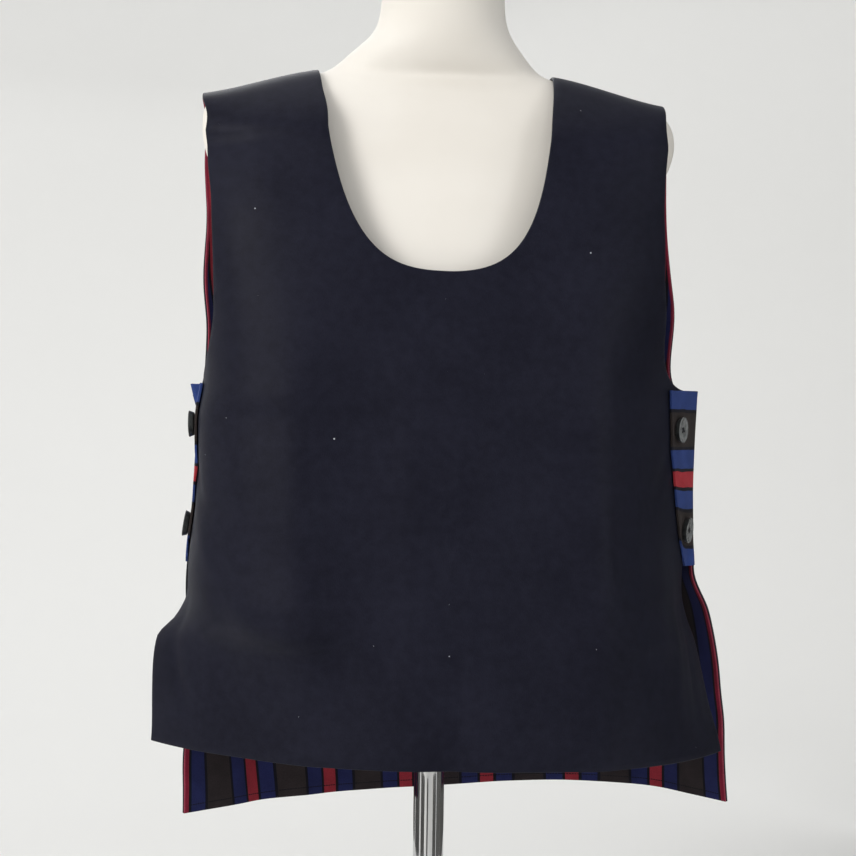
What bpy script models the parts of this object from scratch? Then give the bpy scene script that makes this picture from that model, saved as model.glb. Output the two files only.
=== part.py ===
"""A layered tabard vest on a limbless dress form, with its pole and round base.

X runs to the viewer's right, the front faces -Y and Z is up. The origin is at the centre of
the base's underside. Every panel is a flat cut piece first: "out" is the distance from the
centre line and "down" the distance along the cloth from the neck points. A drape function
then hangs the flat piece on its sections, keeping its lengths.
"""
import math
from collections import namedtuple

import bmesh
import bpy
import numpy as np
from mathutils.geometry import delaunay_2d_cdt

# Heights and walls of the whole
neckPointZ = 0.8873  # middle of the cloth where shoulder and neckline meet
seamY = -0.012  # the shoulder seam runs just in front of the pole
shoulderDrop = 0.0222
seamGap = 0.0003
shoulderGap = 0.0005
plyGap = 0.0005  # between the back's two layers
clothWall = 0.0024  # double-faced front
outerWall = 0.0014  # black outer cloth of the back
liningWall = 0.0011  # striped lining of the back
tabWall = 0.0018

# The flat cut, half of each panel: the back is wider between its armholes than the front
neckHalf = 0.0985
tipOut = 0.1935
sideOut = 0.2825
Cut = namedtuple("Cut", "neckDown underarm hem armRise armBend")
frontShape = Cut(0.2180, 0.3080, 0.6090, 0.1845, 0.1780)
backShape = Cut(0.1050, 0.3120, 0.6700, 0.2230, 0.2080)

# The side tabs, made on the back's side edges and buttoned over the front's
tabTopZ = 0.6260
tabBottomZ = 0.4765
tabOverFront = 0.0560
tabSlope = 0.0120  # its buttoned edge slopes back by this much down to the lower end
tabSlant = 0.0350  # and its lower corner is swept back by this much more
tabRaise = 0.0120  # its lower front corner is cut up by this much
tabClear = 0.0011
tabSeamGap = 0.0013
buttonRadius = 0.0110
buttonGap = 0.0004
buttonSides = 20
# Half a button's section from its crown to its foot: share of the radius, height
buttonProfile = (
    (0.00, 0.0030),
    (0.41, 0.0031),
    (0.65, 0.0040),
    (0.82, 0.0044),
    (0.96, 0.0036),
    (1.00, 0.0020),
    (0.91, 0.0004),
    (0.73, 0.0000),
)
# Where a button sits: below the tab's top edge, in its two brown bands, and in from its end
Button = namedtuple("Button", "word drop edgeIn")
buttonPlaces = (Button("upper", 0.0330, 0.0145), Button("lower", 0.1185, 0.0195))

# Stand
poleRadius = 0.0130
formBottomZ = 0.3520
formSides = 34
poleSides = 28
baseSides = 48
baseRadius = 0.1450
baseThick = 0.0090
collarRadius = 0.0260
collarHigh = 0.0300
edgeRound = 0.0030

# How steeply the cloth falls, in degrees from level, at a distance down from the shoulder
Fall = namedtuple("Fall", "down slope")
frontFall = [
    Fall(0.000, 0.0),
    Fall(0.045, 42.0),
    Fall(0.100, 64.0),
    Fall(0.160, 72.0),
    Fall(0.215, 82.0),
    Fall(0.290, 89.0),
    Fall(0.700, 90.0),
]
backFall = [
    Fall(0.000, 0.0),
    Fall(0.045, 42.0),
    Fall(0.090, 60.0),
    Fall(0.150, 74.0),
    Fall(0.220, 84.0),
    Fall(0.330, 88.0),
    Fall(0.700, 89.5),
]

# Where a panel's side edges stand: level by level, how far out and back of the centre line,
# the cloth's turn there in degrees and its sag, for x < 0 (A) and x > 0 (B). The twist is the
# way the centre line faces, in degrees.
Side = namedtuple("Side", "down centre twist outA backA turnA sagA outB backB turnB sagB")
frontSides = [
    Side(0.000, -0.0045, 0, 0.2825, 0.000, 0, 0.000, 0.2825, 0.000, 0, 0.000),
    Side(0.050, -0.0055, 0, 0.2815, 0.008, 8, 0.000, 0.2810, 0.010, 10, 0.000),
    Side(0.110, -0.0060, 0, 0.2390, 0.098, 68, 0.000, 0.2580, 0.072, 50, 0.000),
    Side(0.170, -0.0050, 0, 0.2090, 0.117, 86, 0.000, 0.2280, 0.112, 75, 0.000),
    Side(0.240, -0.0030, 0, 0.1960, 0.126, 91, 0.000, 0.2230, 0.119, 68, 0.000),
    Side(0.308, -0.0015, 0, 0.1890, 0.127, 96, 0.000, 0.2215, 0.118, 54, 0.001),
    Side(0.340, -0.0010, 0, 0.1890, 0.127, 104, 0.000, 0.2195, 0.118, 56, 0.001),
    Side(0.395, 0.0000, 0, 0.1950, 0.127, 97, 0.000, 0.2170, 0.119, 59, 0.002),
    Side(0.450, 0.0005, 0, 0.2040, 0.127, 90, 0.000, 0.2135, 0.122, 64, 0.003),
    Side(0.480, 0.0015, 0, 0.2060, 0.127, 84, 0.001, 0.2135, 0.124, 68, 0.003),
    Side(0.500, 0.0020, 0, 0.2160, 0.128, 72, 0.001, 0.2170, 0.125, 68, 0.004),
    Side(0.520, 0.0025, 0, 0.2330, 0.130, 58, 0.001, 0.2240, 0.125, 66, 0.004),
    Side(0.550, 0.0030, 0, 0.2365, 0.132, 56, 0.001, 0.2310, 0.120, 62, 0.005),
    Side(0.610, 0.0030, 0, 0.2380, 0.134, 54, 0.000, 0.2450, 0.112, 56, 0.007),
]
backSides = [
    Side(0.000, -0.0045, 0, 0.2825, 0.000, 0, 0.000, 0.2825, 0.000, 0, 0.000),
    Side(0.100, 0.0060, 0, 0.2810, 0.010, 10, 0.000, 0.2810, 0.008, 8, 0.000),
    Side(0.220, 0.0095, 0, 0.2380, 0.080, 68, 0.000, 0.2700, 0.048, 38, 0.000),
    Side(0.312, 0.0120, 2, 0.2150, 0.092, 78, 0.004, 0.2125, 0.094, 74, 0.000),
    Side(0.343, 0.0130, 3, 0.2095, 0.093, 96, 0.002, 0.2100, 0.095, 72, 0.000),
    Side(0.380, 0.0140, 4, 0.2130, 0.094, 92, 0.000, 0.2090, 0.098, 75, 0.000),
    Side(0.460, 0.0170, 7, 0.2225, 0.096, 80, 0.000, 0.2110, 0.098, 80, 0.000),
    Side(0.500, 0.0185, 9, 0.2255, 0.098, 68, 0.000, 0.2245, 0.094, 74, 0.000),
    Side(0.560, 0.0210, 11, 0.2280, 0.103, 54, 0.000, 0.2355, 0.089, 66, 0.000),
    Side(0.670, 0.0250, 14, 0.2330, 0.106, 34, 0.000, 0.2430, 0.078, 54, 0.000),
]

# Largest soft folds: where they run, how wide and how far the cloth stands in or out
Fold = namedtuple("Fold", "out top bottom width stand lean")
frontFolds = [
    Fold(-0.124, 0.240, 0.660, 0.034, 0.0028, 0.010),
    Fold(-0.066, 0.230, 0.600, 0.026, -0.0030, 0.004),
    Fold(0.014, 0.250, 0.560, 0.022, 0.0018, 0.008),
    Fold(0.003, 0.520, 0.680, 0.016, -0.0034, -0.004),
    Fold(0.066, 0.300, 0.640, 0.030, -0.0018, 0.006),
    Fold(0.122, 0.220, 0.650, 0.034, 0.0026, -0.012),
]
backFolds = [
    Fold(-0.200, 0.420, 0.800, 0.022, 0.0052, 0.012),
    Fold(-0.150, 0.380, 0.780, 0.024, -0.0046, 0.006),
    Fold(-0.070, 0.160, 0.700, 0.034, 0.0030, 0.008),
    Fold(0.008, 0.240, 0.740, 0.026, -0.0026, -0.004),
    Fold(0.084, 0.180, 0.690, 0.036, 0.0030, -0.010),
    Fold(0.160, 0.360, 0.750, 0.024, -0.0032, -0.008),
    Fold(0.208, 0.440, 0.770, 0.024, 0.0034, -0.006),
]

# The dress form's level sections, top down: half width, front and back reach from the pole
Level = namedtuple("Level", "z shift half front back square")
formLevels = [
    Level(0.9900, 0.0000, 0.0490, -0.0840, 0.0130, 2.0),
    Level(0.9700, 0.0000, 0.0505, -0.0840, 0.0150, 2.0),
    Level(0.9450, 0.0000, 0.0510, -0.0810, 0.0200, 2.0),
    Level(0.9280, 0.0000, 0.0530, -0.0760, 0.0250, 2.0),
    Level(0.9160, 0.0000, 0.0590, -0.0720, 0.0280, 2.0),
    Level(0.9060, -0.0025, 0.0700, -0.0680, 0.0300, 2.0),
    Level(0.8970, -0.0035, 0.0795, -0.0630, 0.0305, 2.0),
    Level(0.8885, -0.0045, 0.0880, -0.0580, 0.0300, 2.0),
    Level(0.8850, -0.0045, 0.0955, -0.0515, 0.0255, 2.0),
    Level(0.8810, -0.0045, 0.1165, -0.0485, 0.0225, 2.0),
    Level(0.8762, -0.0045, 0.1365, -0.0520, 0.0270, 2.0),
    Level(0.8709, -0.0045, 0.1555, -0.0560, 0.0320, 2.0),
    Level(0.8660, -0.0045, 0.1745, -0.0575, 0.0335, 2.0),
    Level(0.8622, -0.0045, 0.1900, -0.0590, 0.0350, 2.0),
    Level(0.8565, -0.0015, 0.1960, -0.0615, 0.0380, 2.0),
    Level(0.8460, 0.0010, 0.2000, -0.0660, 0.0430, 2.05),
    Level(0.8300, 0.0020, 0.2010, -0.0700, 0.0500, 2.1),
    Level(0.8120, 0.0020, 0.1960, -0.0760, 0.0570, 2.15),
    Level(0.7900, 0.0010, 0.1850, -0.0830, 0.0660, 2.2),
    Level(0.7600, 0.0000, 0.1680, -0.0930, 0.0750, 2.2),
    Level(0.7200, 0.0000, 0.1560, -0.1050, 0.0800, 2.2),
    Level(0.6800, 0.0000, 0.1500, -0.1130, 0.0800, 2.2),
    Level(0.6400, 0.0000, 0.1400, -0.1080, 0.0780, 2.2),
    Level(0.5900, 0.0000, 0.1250, -0.0980, 0.0720, 2.15),
    Level(0.5300, 0.0000, 0.1180, -0.0900, 0.0700, 2.1),
    Level(0.4700, 0.0000, 0.1300, -0.0920, 0.0800, 2.15),
    Level(0.4100, 0.0000, 0.1450, -0.0940, 0.0920, 2.2),
    Level(0.3700, 0.0000, 0.1480, -0.0930, 0.0940, 2.25),
    Level(formBottomZ, 0.0000, 0.1440, -0.0900, 0.0910, 2.3),
]

# Mesh of the flat pieces: an even lattice, with closer rows over the bend of the shoulder
latticeColumns = 32
shoulderRow = 0.0125
shoulderDeep = 0.0750
bodyRow = 0.0190
edgeStep = 0.0150  # spacing of the points along an edge
edgeRoom = 0.0062  # lattice points keep this far inside the edges
shearFade = 0.1000  # the shoulder's slope fades out of the rows by this far down

# A half section is one curve: its two handles share a reach that is fitted to the length
sectionSteps = 48
longestReach = 0.195
centreHandle = 0.80
sideHandle = 0.62


def smoothRow(rows, column, at):
    """Reads a column of a table between its rows, on a curve with no overshoot."""
    xs = np.array([row[0] for row in rows])
    ys = np.array([getattr(row, column) for row in rows], dtype=float)
    at = np.clip(at, xs[0], xs[-1])
    slopes = np.diff(ys) / np.diff(xs)
    ends = np.zeros_like(ys)
    ends[0] = slopes[0]
    ends[-1] = slopes[-1]
    same = slopes[:-1] * slopes[1:] > 0
    total = np.where(same, slopes[:-1] + slopes[1:], 1.0)
    ends[1:-1] = np.where(same, 2.0 * slopes[:-1] * slopes[1:] / total, 0.0)
    cell = np.clip(np.searchsorted(xs, at, side="right") - 1, 0, len(xs) - 2)
    wide = xs[cell + 1] - xs[cell]
    part = (at - xs[cell]) / wide
    back = 1.0 - part
    return (
        ys[cell] * back * back * (1.0 + 2.0 * part)
        + ends[cell] * wide * part * back * back
        + ys[cell + 1] * part * part * (3.0 - 2.0 * part)
        - ends[cell + 1] * wide * part * part * back
    )


def smoothStep(low, high, at):
    part = np.clip((at - low) / (high - low), 0.0, 1.0)
    return part * part * (3.0 - 2.0 * part)


def hang(falls, down):
    """How far the cloth has gone away from the shoulder, and how far it has dropped."""
    away = np.zeros_like(down)
    drop = np.zeros_like(down)
    for upper, lower in zip(falls[:-1], falls[1:]):
        length = lower.down - upper.down
        run = np.clip(down - upper.down, 0.0, length)
        first = math.radians(upper.slope)
        rate = math.radians(lower.slope - upper.slope) / length
        angle = first + rate * run
        away += (np.sin(angle) - math.sin(first)) / rate
        drop += (math.cos(first) - np.cos(angle)) / rate
    return away, drop


def shoulderFall(out):
    """Drop of the shoulder line at a distance from the centre: flatter at both its ends."""
    part = np.clip((out - neckHalf) / (tipOut - neckHalf), 0.0, 1.0)
    eased = part * part * (3.0 - 2.0 * part)
    return shoulderDrop * (0.60 * part + 0.40 * eased)


def bezier(points, u):
    """A cubic curve's points, for arrays of its four control points."""
    v = 1.0 - u
    first, second, third, last = points
    return v * v * v * first + 3 * v * v * u * second + 3 * v * u * u * third + u * u * u * last


def controls(ends, reach):
    """Half a section: facing as the centre does, ending at the side edge on its own turn."""
    out, back, turn, twist = ends
    angle = np.radians(turn)
    start = np.radians(twist)
    zero = np.zeros_like(out)
    near = reach * centreHandle
    far = reach * sideHandle
    xs = (zero, near * np.cos(start), out - far * np.cos(angle), out)
    ys = (zero, near * np.sin(start), back - far * np.sin(angle), back)
    return xs, ys


def sectionLength(ends, reach):
    u = np.linspace(0.0, 1.0, sectionSteps + 1)[:, None]
    xs, ys = controls(ends, reach)
    x = bezier(xs, u)
    y = bezier(ys, u)
    return np.hypot(np.diff(x, axis=0), np.diff(y, axis=0)).sum(axis=0)


def fitReach(ends, length):
    """The handles that give every half section the length of the flat piece."""
    low = np.full_like(ends[0], 0.02)
    high = np.full_like(ends[0], longestReach)
    for _ in range(34):
        reach = 0.5 * (low + high)
        short = sectionLength(ends, reach) < length
        low = np.where(short, reach, low)
        high = np.where(short, high, reach)
    return 0.5 * (low + high)


class Panel:
    """A cut piece and the way it hangs."""

    def __init__(self, falls, sides, folds, facing, hem):
        self.falls = falls
        self.sides = sides
        self.folds = folds
        self.facing = facing
        self.levels = np.linspace(0.0, hem, 90)
        self.reach = {}
        for hand in "AB":
            ends = self.ends(hand, self.levels)
            self.reach[hand] = fitReach(ends, sideOut)

    def ends(self, hand, down):
        read = [smoothRow(self.sides, name + hand, down) for name in ("out", "back", "turn")]
        twist = smoothRow(self.sides, "twist", down)
        return (*read, twist if hand == "A" else -twist)

    def section(self, out, down):
        """Sideways and backward place of points at a distance out, level by level."""
        side = np.where(out < 0.0, -1.0, 1.0)
        length = np.abs(out)
        across = np.zeros_like(out)
        behind = np.zeros_like(out)
        for hand, mine in (("A", out < 0.0), ("B", out >= 0.0)):
            if not mine.any():
                continue
            ends = self.ends(hand, down[mine])
            reach = np.interp(down[mine], self.levels, self.reach[hand])
            xs, ys = controls(ends, reach)
            u = np.linspace(0.0, 1.0, sectionSteps + 1)[:, None]
            x = bezier(xs, u)
            y = bezier(ys, u)
            step = np.hypot(np.diff(x, axis=0), np.diff(y, axis=0))
            far = np.vstack([np.zeros(x.shape[1]), np.cumsum(step, axis=0)])
            want = length[mine] * np.minimum(far[-1] / sideOut, 1.0)
            cell = np.clip((far < want).sum(axis=0) - 1, 0, sectionSteps - 1)
            spot = np.arange(len(want))
            part = (want - far[cell, spot]) / (far[cell + 1, spot] - far[cell, spot])
            at = (cell + part) / sectionSteps
            across[mine] = bezier(xs, at)
            behind[mine] = bezier(ys, at)
        return side * across, behind

    def middle(self, out, down):
        """The smooth middle of the cloth, before its folds."""
        lower = smoothStep(0.05, 0.24, down)
        slope = shoulderFall(np.abs(out)) * (1.0 - lower)
        away, drop = hang(self.falls, np.maximum(down - slope, 0.0))
        across, behind = self.section(out, down)
        x = smoothRow(self.sides, "centre", down) + across
        y = seamY + self.facing * (away - behind)
        sag = np.where(
            out < 0.0,
            smoothRow(self.sides, "sagA", down),
            smoothRow(self.sides, "sagB", down),
        )
        z = neckPointZ - slope - drop - sag * np.abs(out) / sideOut
        return np.stack([x, y, z], axis=-1)

    def foldStand(self, out, down):
        stand = np.zeros_like(out)
        for fold in self.folds:
            run = (down - fold.top) / (fold.bottom - fold.top)
            fade = np.clip(4.0 * run * (1.0 - run), 0.0, 1.0)
            off = (out - fold.out - fold.lean * run) / fold.width
            stand += fold.stand * fade * np.exp(-off * off)
        return stand

    def surface(self, out, down, moved):
        """Points of the draped cloth, moved outward from its middle by a distance."""
        out = np.asarray(out, dtype=float)
        down = np.asarray(down, dtype=float)
        small = 0.0004
        here = self.middle(out, down)
        wide = self.middle(out + small, down) - self.middle(out - small, down)
        low = np.maximum(down - small, 0.0)
        tall = self.middle(out, down + small) - self.middle(out, low)
        normal = np.cross(wide, tall) * self.facing
        normal /= np.linalg.norm(normal, axis=-1, keepdims=True)
        stand = self.foldStand(out, down) + moved
        return here + normal * stand[..., None]


front = Panel(frontFall, frontSides, frontFolds, -1.0, frontShape.hem)
back = Panel(backFall, backSides, backFolds, 1.0, backShape.hem)


def neckline(cut, part):
    """The neckline's half, from its lowest point to the shoulder seam."""
    low = (0.0, cut.neckDown)
    bend = (0.63 * neckHalf, cut.neckDown)
    rise = (0.885 * neckHalf, 0.87 * cut.neckDown)
    top = (neckHalf, 0.0)
    out = bezier([p[0] for p in (low, bend, rise, top)], part)
    down = bezier([p[1] for p in (low, bend, rise, top)], part)
    return out, down


def armhole(cut, part):
    """The armhole's half, from the side edge's top up to the shoulder tip."""
    low = (sideOut, cut.underarm)
    bend = (cut.armBend, cut.underarm)
    rise = (cut.armRise, 0.780 * cut.underarm)
    top = (tipOut, 0.0)
    out = bezier([p[0] for p in (low, bend, rise, top)], part)
    down = bezier([p[1] for p in (low, bend, rise, top)], part)
    return out, down


def evenly(out, level, step):
    """Points at an even spacing along a line, its first one kept and its last one left off."""
    length = np.hypot(np.diff(out), np.diff(level))
    far = np.concatenate([[0.0], np.cumsum(length)])
    count = max(1, round(far[-1] / step))
    at = np.linspace(0.0, far[-1], count + 1)[:-1]
    return np.interp(at, far, out), np.interp(at, far, level)


def halfOutline(cut):
    """Half the flat outline, from the neckline's lowest point round to the hem's middle."""
    part = np.linspace(0.0, 1.0, 200)
    neckOut, neckLevel = neckline(cut, part)
    armOut, armLevel = armhole(cut, part[::-1])
    edges = [
        (neckOut, neckLevel),
        (np.array([neckHalf, tipOut]), np.array([0.0, 0.0])),
        (armOut, armLevel),
        (np.array([sideOut, sideOut]), np.array([cut.underarm, cut.hem])),
        (np.array([sideOut, 0.0]), np.array([cut.hem, cut.hem])),
    ]
    pieces = [evenly(out, level, edgeStep) for out, level in edges]
    outs = np.concatenate([piece[0] for piece in pieces] + [[0.0]])
    levels = np.concatenate([piece[1] for piece in pieces] + [[cut.hem]])
    return outs, levels


def panelCut(cut):
    """The flat piece: its points, out and down, and its triangles."""
    halfOut, halfLevel = halfOutline(cut)
    edgeOut = np.concatenate([halfOut, -halfOut[-2:0:-1]])
    edgeLevel = np.concatenate([halfLevel, halfLevel[-2:0:-1]])
    part = np.linspace(0.0, 1.0, 200)
    neckOut, neckLevel = neckline(cut, part)
    armOut, armLevel = armhole(cut, part)
    bodyRows = round((cut.hem - shoulderDeep) / bodyRow)
    rows = list(np.arange(shoulderRow, shoulderDeep - 0.001, shoulderRow))
    rows += list(np.linspace(shoulderDeep, cut.hem, bodyRows + 1)[:-1])
    columns = np.linspace(-sideOut, sideOut, latticeColumns + 1)[1:-1]
    points = list(zip(edgeOut, edgeLevel))
    for row in rows:
        inner = np.interp(row, neckLevel[::-1], neckOut[::-1]) if row < cut.neckDown else -1.0
        outer = np.interp(row, armLevel[::-1], armOut[::-1]) if row < cut.underarm else sideOut
        for column in columns:
            if not inner < abs(column) < outer:
                continue
            if np.hypot(edgeOut - column, edgeLevel - row).min() < edgeRoom:
                continue
            points.append((column, row))
    loop = list(range(len(edgeOut)))
    flat = delaunay_2d_cdt([(float(a), float(-b)) for a, b in points], [], [loop], 1, 1e-7)
    out = np.array([point[0] for point in flat[0]])
    level = np.array([-point[1] for point in flat[0]])
    fade = np.clip(1.0 - level / shearFade, 0.0, 1.0) ** 2
    down = level + shoulderFall(np.abs(out)) * fade
    down = down + np.where(level < 1e-7, shoulderGap / 2, 0.0)
    return np.stack([out, down], axis=-1), [tuple(face) for face in flat[2]]


def addObject(name, mesh, colour, roughness, metallic=0.0):
    material = bpy.data.materials.new(name)
    material.use_nodes = True
    shader = material.node_tree.nodes["Principled BSDF"]
    shader.inputs["Base Color"].default_value = (*colour, 1.0)
    shader.inputs["Roughness"].default_value = roughness
    shader.inputs["Metallic"].default_value = metallic
    mesh.materials.append(material)
    mesh.shade_smooth()
    mesh.set_sharp_from_angle(angle=math.radians(35))
    thing = bpy.data.objects.new(name, mesh)
    bpy.context.scene.collection.objects.link(thing)
    return thing


def wallMesh(name, faceOut, faceIn):
    """A closed wall between two grids of points, with all four of its edges filled."""
    rows, columns = faceOut.shape[:2]
    work = bmesh.new()
    sheets = []
    for grid in (faceOut, faceIn):
        sheets.append([[work.verts.new(point) for point in line] for line in grid])
    top, under = sheets
    for i in range(rows - 1):
        for j in range(columns - 1):
            for sheet, turn in ((top, 1), (under, -1)):
                corners = (sheet[i][j], sheet[i + 1][j], sheet[i + 1][j + 1], sheet[i][j + 1])
                work.faces.new([corners[k] for k in (0, 1, 2)][::turn])
                work.faces.new([corners[k] for k in (0, 2, 3)][::turn])
    border = [(i, 0) for i in range(rows)]
    border += [(rows - 1, j) for j in range(1, columns)]
    border += [(i, columns - 1) for i in range(rows - 2, -1, -1)]
    border += [(0, j) for j in range(columns - 2, 0, -1)]
    for (i, j), (m, n) in zip(border, border[1:] + border[:1]):
        work.faces.new((top[m][n], top[i][j], under[i][j], under[m][n]))
    bmesh.ops.recalc_face_normals(work, faces=work.faces)
    mesh = bpy.data.meshes.new(name)
    work.to_mesh(mesh)
    work.free()
    return mesh


def makePanel(name, panel, cut, outer, inner, colour, roughness):
    """The draped piece as a closed wall between two distances from the cloth's middle."""
    points, triangles = cut
    out, down = points[:, 0], points[:, 1]
    count = len(points)
    work = bmesh.new()
    for moved in (outer, inner):
        for point in panel.surface(out, down, moved):
            work.verts.new(point)
    work.verts.ensure_lookup_table()
    edges = set()
    for a, b, c in triangles:
        work.faces.new([work.verts[k] for k in (a, b, c)])
        work.faces.new([work.verts[k + count] for k in (c, b, a)])
        edges.update(((a, b), (b, c), (c, a)))
    for a, b in edges:
        if (b, a) not in edges:
            work.faces.new([work.verts[k] for k in (b, a, a + count, b + count)])
    bmesh.ops.recalc_face_normals(work, faces=work.faces)
    mesh = bpy.data.meshes.new(name)
    work.to_mesh(mesh)
    work.free()
    return addObject(name, mesh, colour, roughness)


def downAtHeight(panel, out, z):
    """How far down the flat piece the heights are met, at a distance out."""
    downs = np.linspace(0.05, 0.66, 240)
    heights = panel.middle(np.full(downs.shape, out), downs)[:, 2]
    return np.interp(-z, -heights, downs)


def tabPath(side, z):
    """A line of the tab's middle, from its buttoned end back to the back's side edge."""
    lower = (tabTopZ - z) / (tabTopZ - tabBottomZ)
    start = sideOut - tabOverFront + tabSlope * lower + tabSlant * lower**3
    lift = clothWall / 2 + tabClear + tabWall / 2
    outs = np.linspace(start, sideOut + 0.0015, 10)
    raised = z + tabRaise * lower**3 * np.linspace(1.0, 0.0, 10) ** 2
    levels = downAtHeight(front, side * 0.2, raised)
    path = list(front.surface(side * outs, levels, lift))
    ahead = path[-1] - path[-2]
    ahead /= np.linalg.norm(ahead)
    behindLevel = downAtHeight(back, side * 0.2, z)
    edges = back.surface(side * np.array([sideOut - 0.006, sideOut]), np.full(2, behindLevel), 0.0)
    inward = edges[0] - edges[1]
    inward /= np.linalg.norm(inward)
    goal = edges[1] - inward * tabSeamGap
    goal[2] = path[-1][2]
    gap = np.linalg.norm(goal - path[-1])
    points = [path[-1], path[-1] + ahead * gap * 0.4, goal - inward * gap * 0.4, goal]
    for step in range(1, 5):
        path.append(bezier(points, step / 4))
    return np.array(path)


def makeTab(name, side, colour):
    """The striped tab, built from the front's own turned edge, moved out."""
    heights = np.linspace(tabTopZ, tabBottomZ, 9)
    middle = np.array([tabPath(side, z) for z in heights])
    along = np.gradient(middle, axis=1)
    tall = np.gradient(middle, axis=0)
    normal = np.cross(along, tall)
    normal /= np.linalg.norm(normal, axis=-1, keepdims=True)
    if normal[4, 4][0] * side < 0:
        normal = -normal
    mesh = wallMesh(name, middle + normal * tabWall / 2, middle - normal * tabWall / 2)
    addObject(name, mesh, colour, 0.85)
    return middle, normal


def makeButton(name, middle, normal, spot, colour):
    """A round sew-on button: rounded rim, shallow dish, flat underside on the tab."""
    profile = [(radius * buttonRadius, high) for radius, high in buttonProfile]
    place, axis = buttonSeat(middle, normal, spot)
    up = np.array([0.0, 0.0, 1.0])
    right = np.cross(up, axis)
    right /= np.linalg.norm(right)
    up = np.cross(axis, right)
    work = bmesh.new()
    rings = []
    for radius, high in profile[1:]:
        ring = []
        for k in range(buttonSides):
            angle = 2 * math.pi * k / buttonSides
            point = place + axis * high
            point = point + radius * (right * math.cos(angle) + up * math.sin(angle))
            ring.append(work.verts.new(point))
        rings.append(ring)
    crown = work.verts.new(place + axis * profile[0][1])
    foot = work.verts.new(place + axis * profile[-1][1])
    for k in range(buttonSides):
        n = (k + 1) % buttonSides
        work.faces.new((crown, rings[0][k], rings[0][n]))
        work.faces.new((foot, rings[-1][n], rings[-1][k]))
        for upper, lower in zip(rings[:-1], rings[1:]):
            work.faces.new((upper[k], lower[k], lower[n], upper[n]))
    bmesh.ops.recalc_face_normals(work, faces=work.faces)
    mesh = bpy.data.meshes.new(name)
    work.to_mesh(mesh)
    work.free()
    return addObject(name, mesh, colour, 0.25)


def buttonSeat(middle, normal, spot):
    """The point of the tab's outer face under a button, and the way the button faces."""
    rows, columns = middle.shape[:2]
    row = spot.drop / (tabTopZ - tabBottomZ) * (rows - 1)
    upper = min(int(row), rows - 2)
    line = middle[upper] + (middle[upper + 1] - middle[upper]) * (row - upper)
    faces = normal[upper] + (normal[upper + 1] - normal[upper]) * (row - upper)
    far = np.concatenate([[0.0], np.cumsum(np.linalg.norm(np.diff(line, axis=0), axis=1))])
    place = np.array([np.interp(spot.edgeIn, far, line[:, k]) for k in range(3)])
    axis = np.array([np.interp(spot.edgeIn, far, faces[:, k]) for k in range(3)])
    axis /= np.linalg.norm(axis)
    span = (buttonRadius * 0.85) ** 2
    close = [n for n, point in enumerate(line) if np.sum((point - place) ** 2) < span]
    lift = max([float(np.dot(line[n] - place, axis)) for n in close] + [0.0])
    return place + axis * (tabWall / 2 + buttonGap + lift), axis


def makeForm(colour):
    """The limbless form: level sections lofted from the neck cap to the flat bottom."""
    work = bmesh.new()
    rings = []
    for level in formLevels:
        centre = 0.5 * (level.front + level.back)
        deep = 0.5 * (level.back - level.front)
        power = 2.0 / level.square
        ring = []
        for k in range(formSides):
            angle = 2 * math.pi * k / formSides
            c, s = math.cos(angle), math.sin(angle)
            x = level.shift + level.half * math.copysign(abs(c) ** power, c)
            y = centre + deep * math.copysign(abs(s) ** power, s)
            ring.append(work.verts.new((x, y, level.z)))
        rings.append(ring)
    for upper, lower in zip(rings[:-1], rings[1:]):
        for k in range(formSides):
            n = (k + 1) % formSides
            work.faces.new((upper[k], lower[k], lower[n], upper[n]))
    work.faces.new(rings[0])
    work.faces.new(list(reversed(rings[-1])))
    bmesh.ops.recalc_face_normals(work, faces=work.faces)
    mesh = bpy.data.meshes.new("dress_form")
    work.to_mesh(mesh)
    work.free()
    return addObject("dress_form", mesh, colour, 0.6)


def makeTurned(name, profile, sides, colour, roughness, metallic):
    """A turned piece from its radius and height pairs, top down, closed on its axis."""
    work = bmesh.new()
    rings = []
    for radius, z in profile:
        ring = []
        for k in range(sides):
            angle = 2 * math.pi * k / sides
            ring.append(work.verts.new((radius * math.cos(angle), radius * math.sin(angle), z)))
        rings.append(ring)
    for upper, lower in zip(rings[:-1], rings[1:]):
        for k in range(sides):
            n = (k + 1) % sides
            work.faces.new((upper[k], lower[k], lower[n], upper[n]))
    work.faces.new(rings[0])
    work.faces.new(list(reversed(rings[-1])))
    bmesh.ops.recalc_face_normals(work, faces=work.faces)
    mesh = bpy.data.meshes.new(name)
    work.to_mesh(mesh)
    work.free()
    return addObject(name, mesh, colour, roughness, metallic)


def clearScene():
    for thing in list(bpy.data.objects):
        bpy.data.objects.remove(thing)


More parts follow.
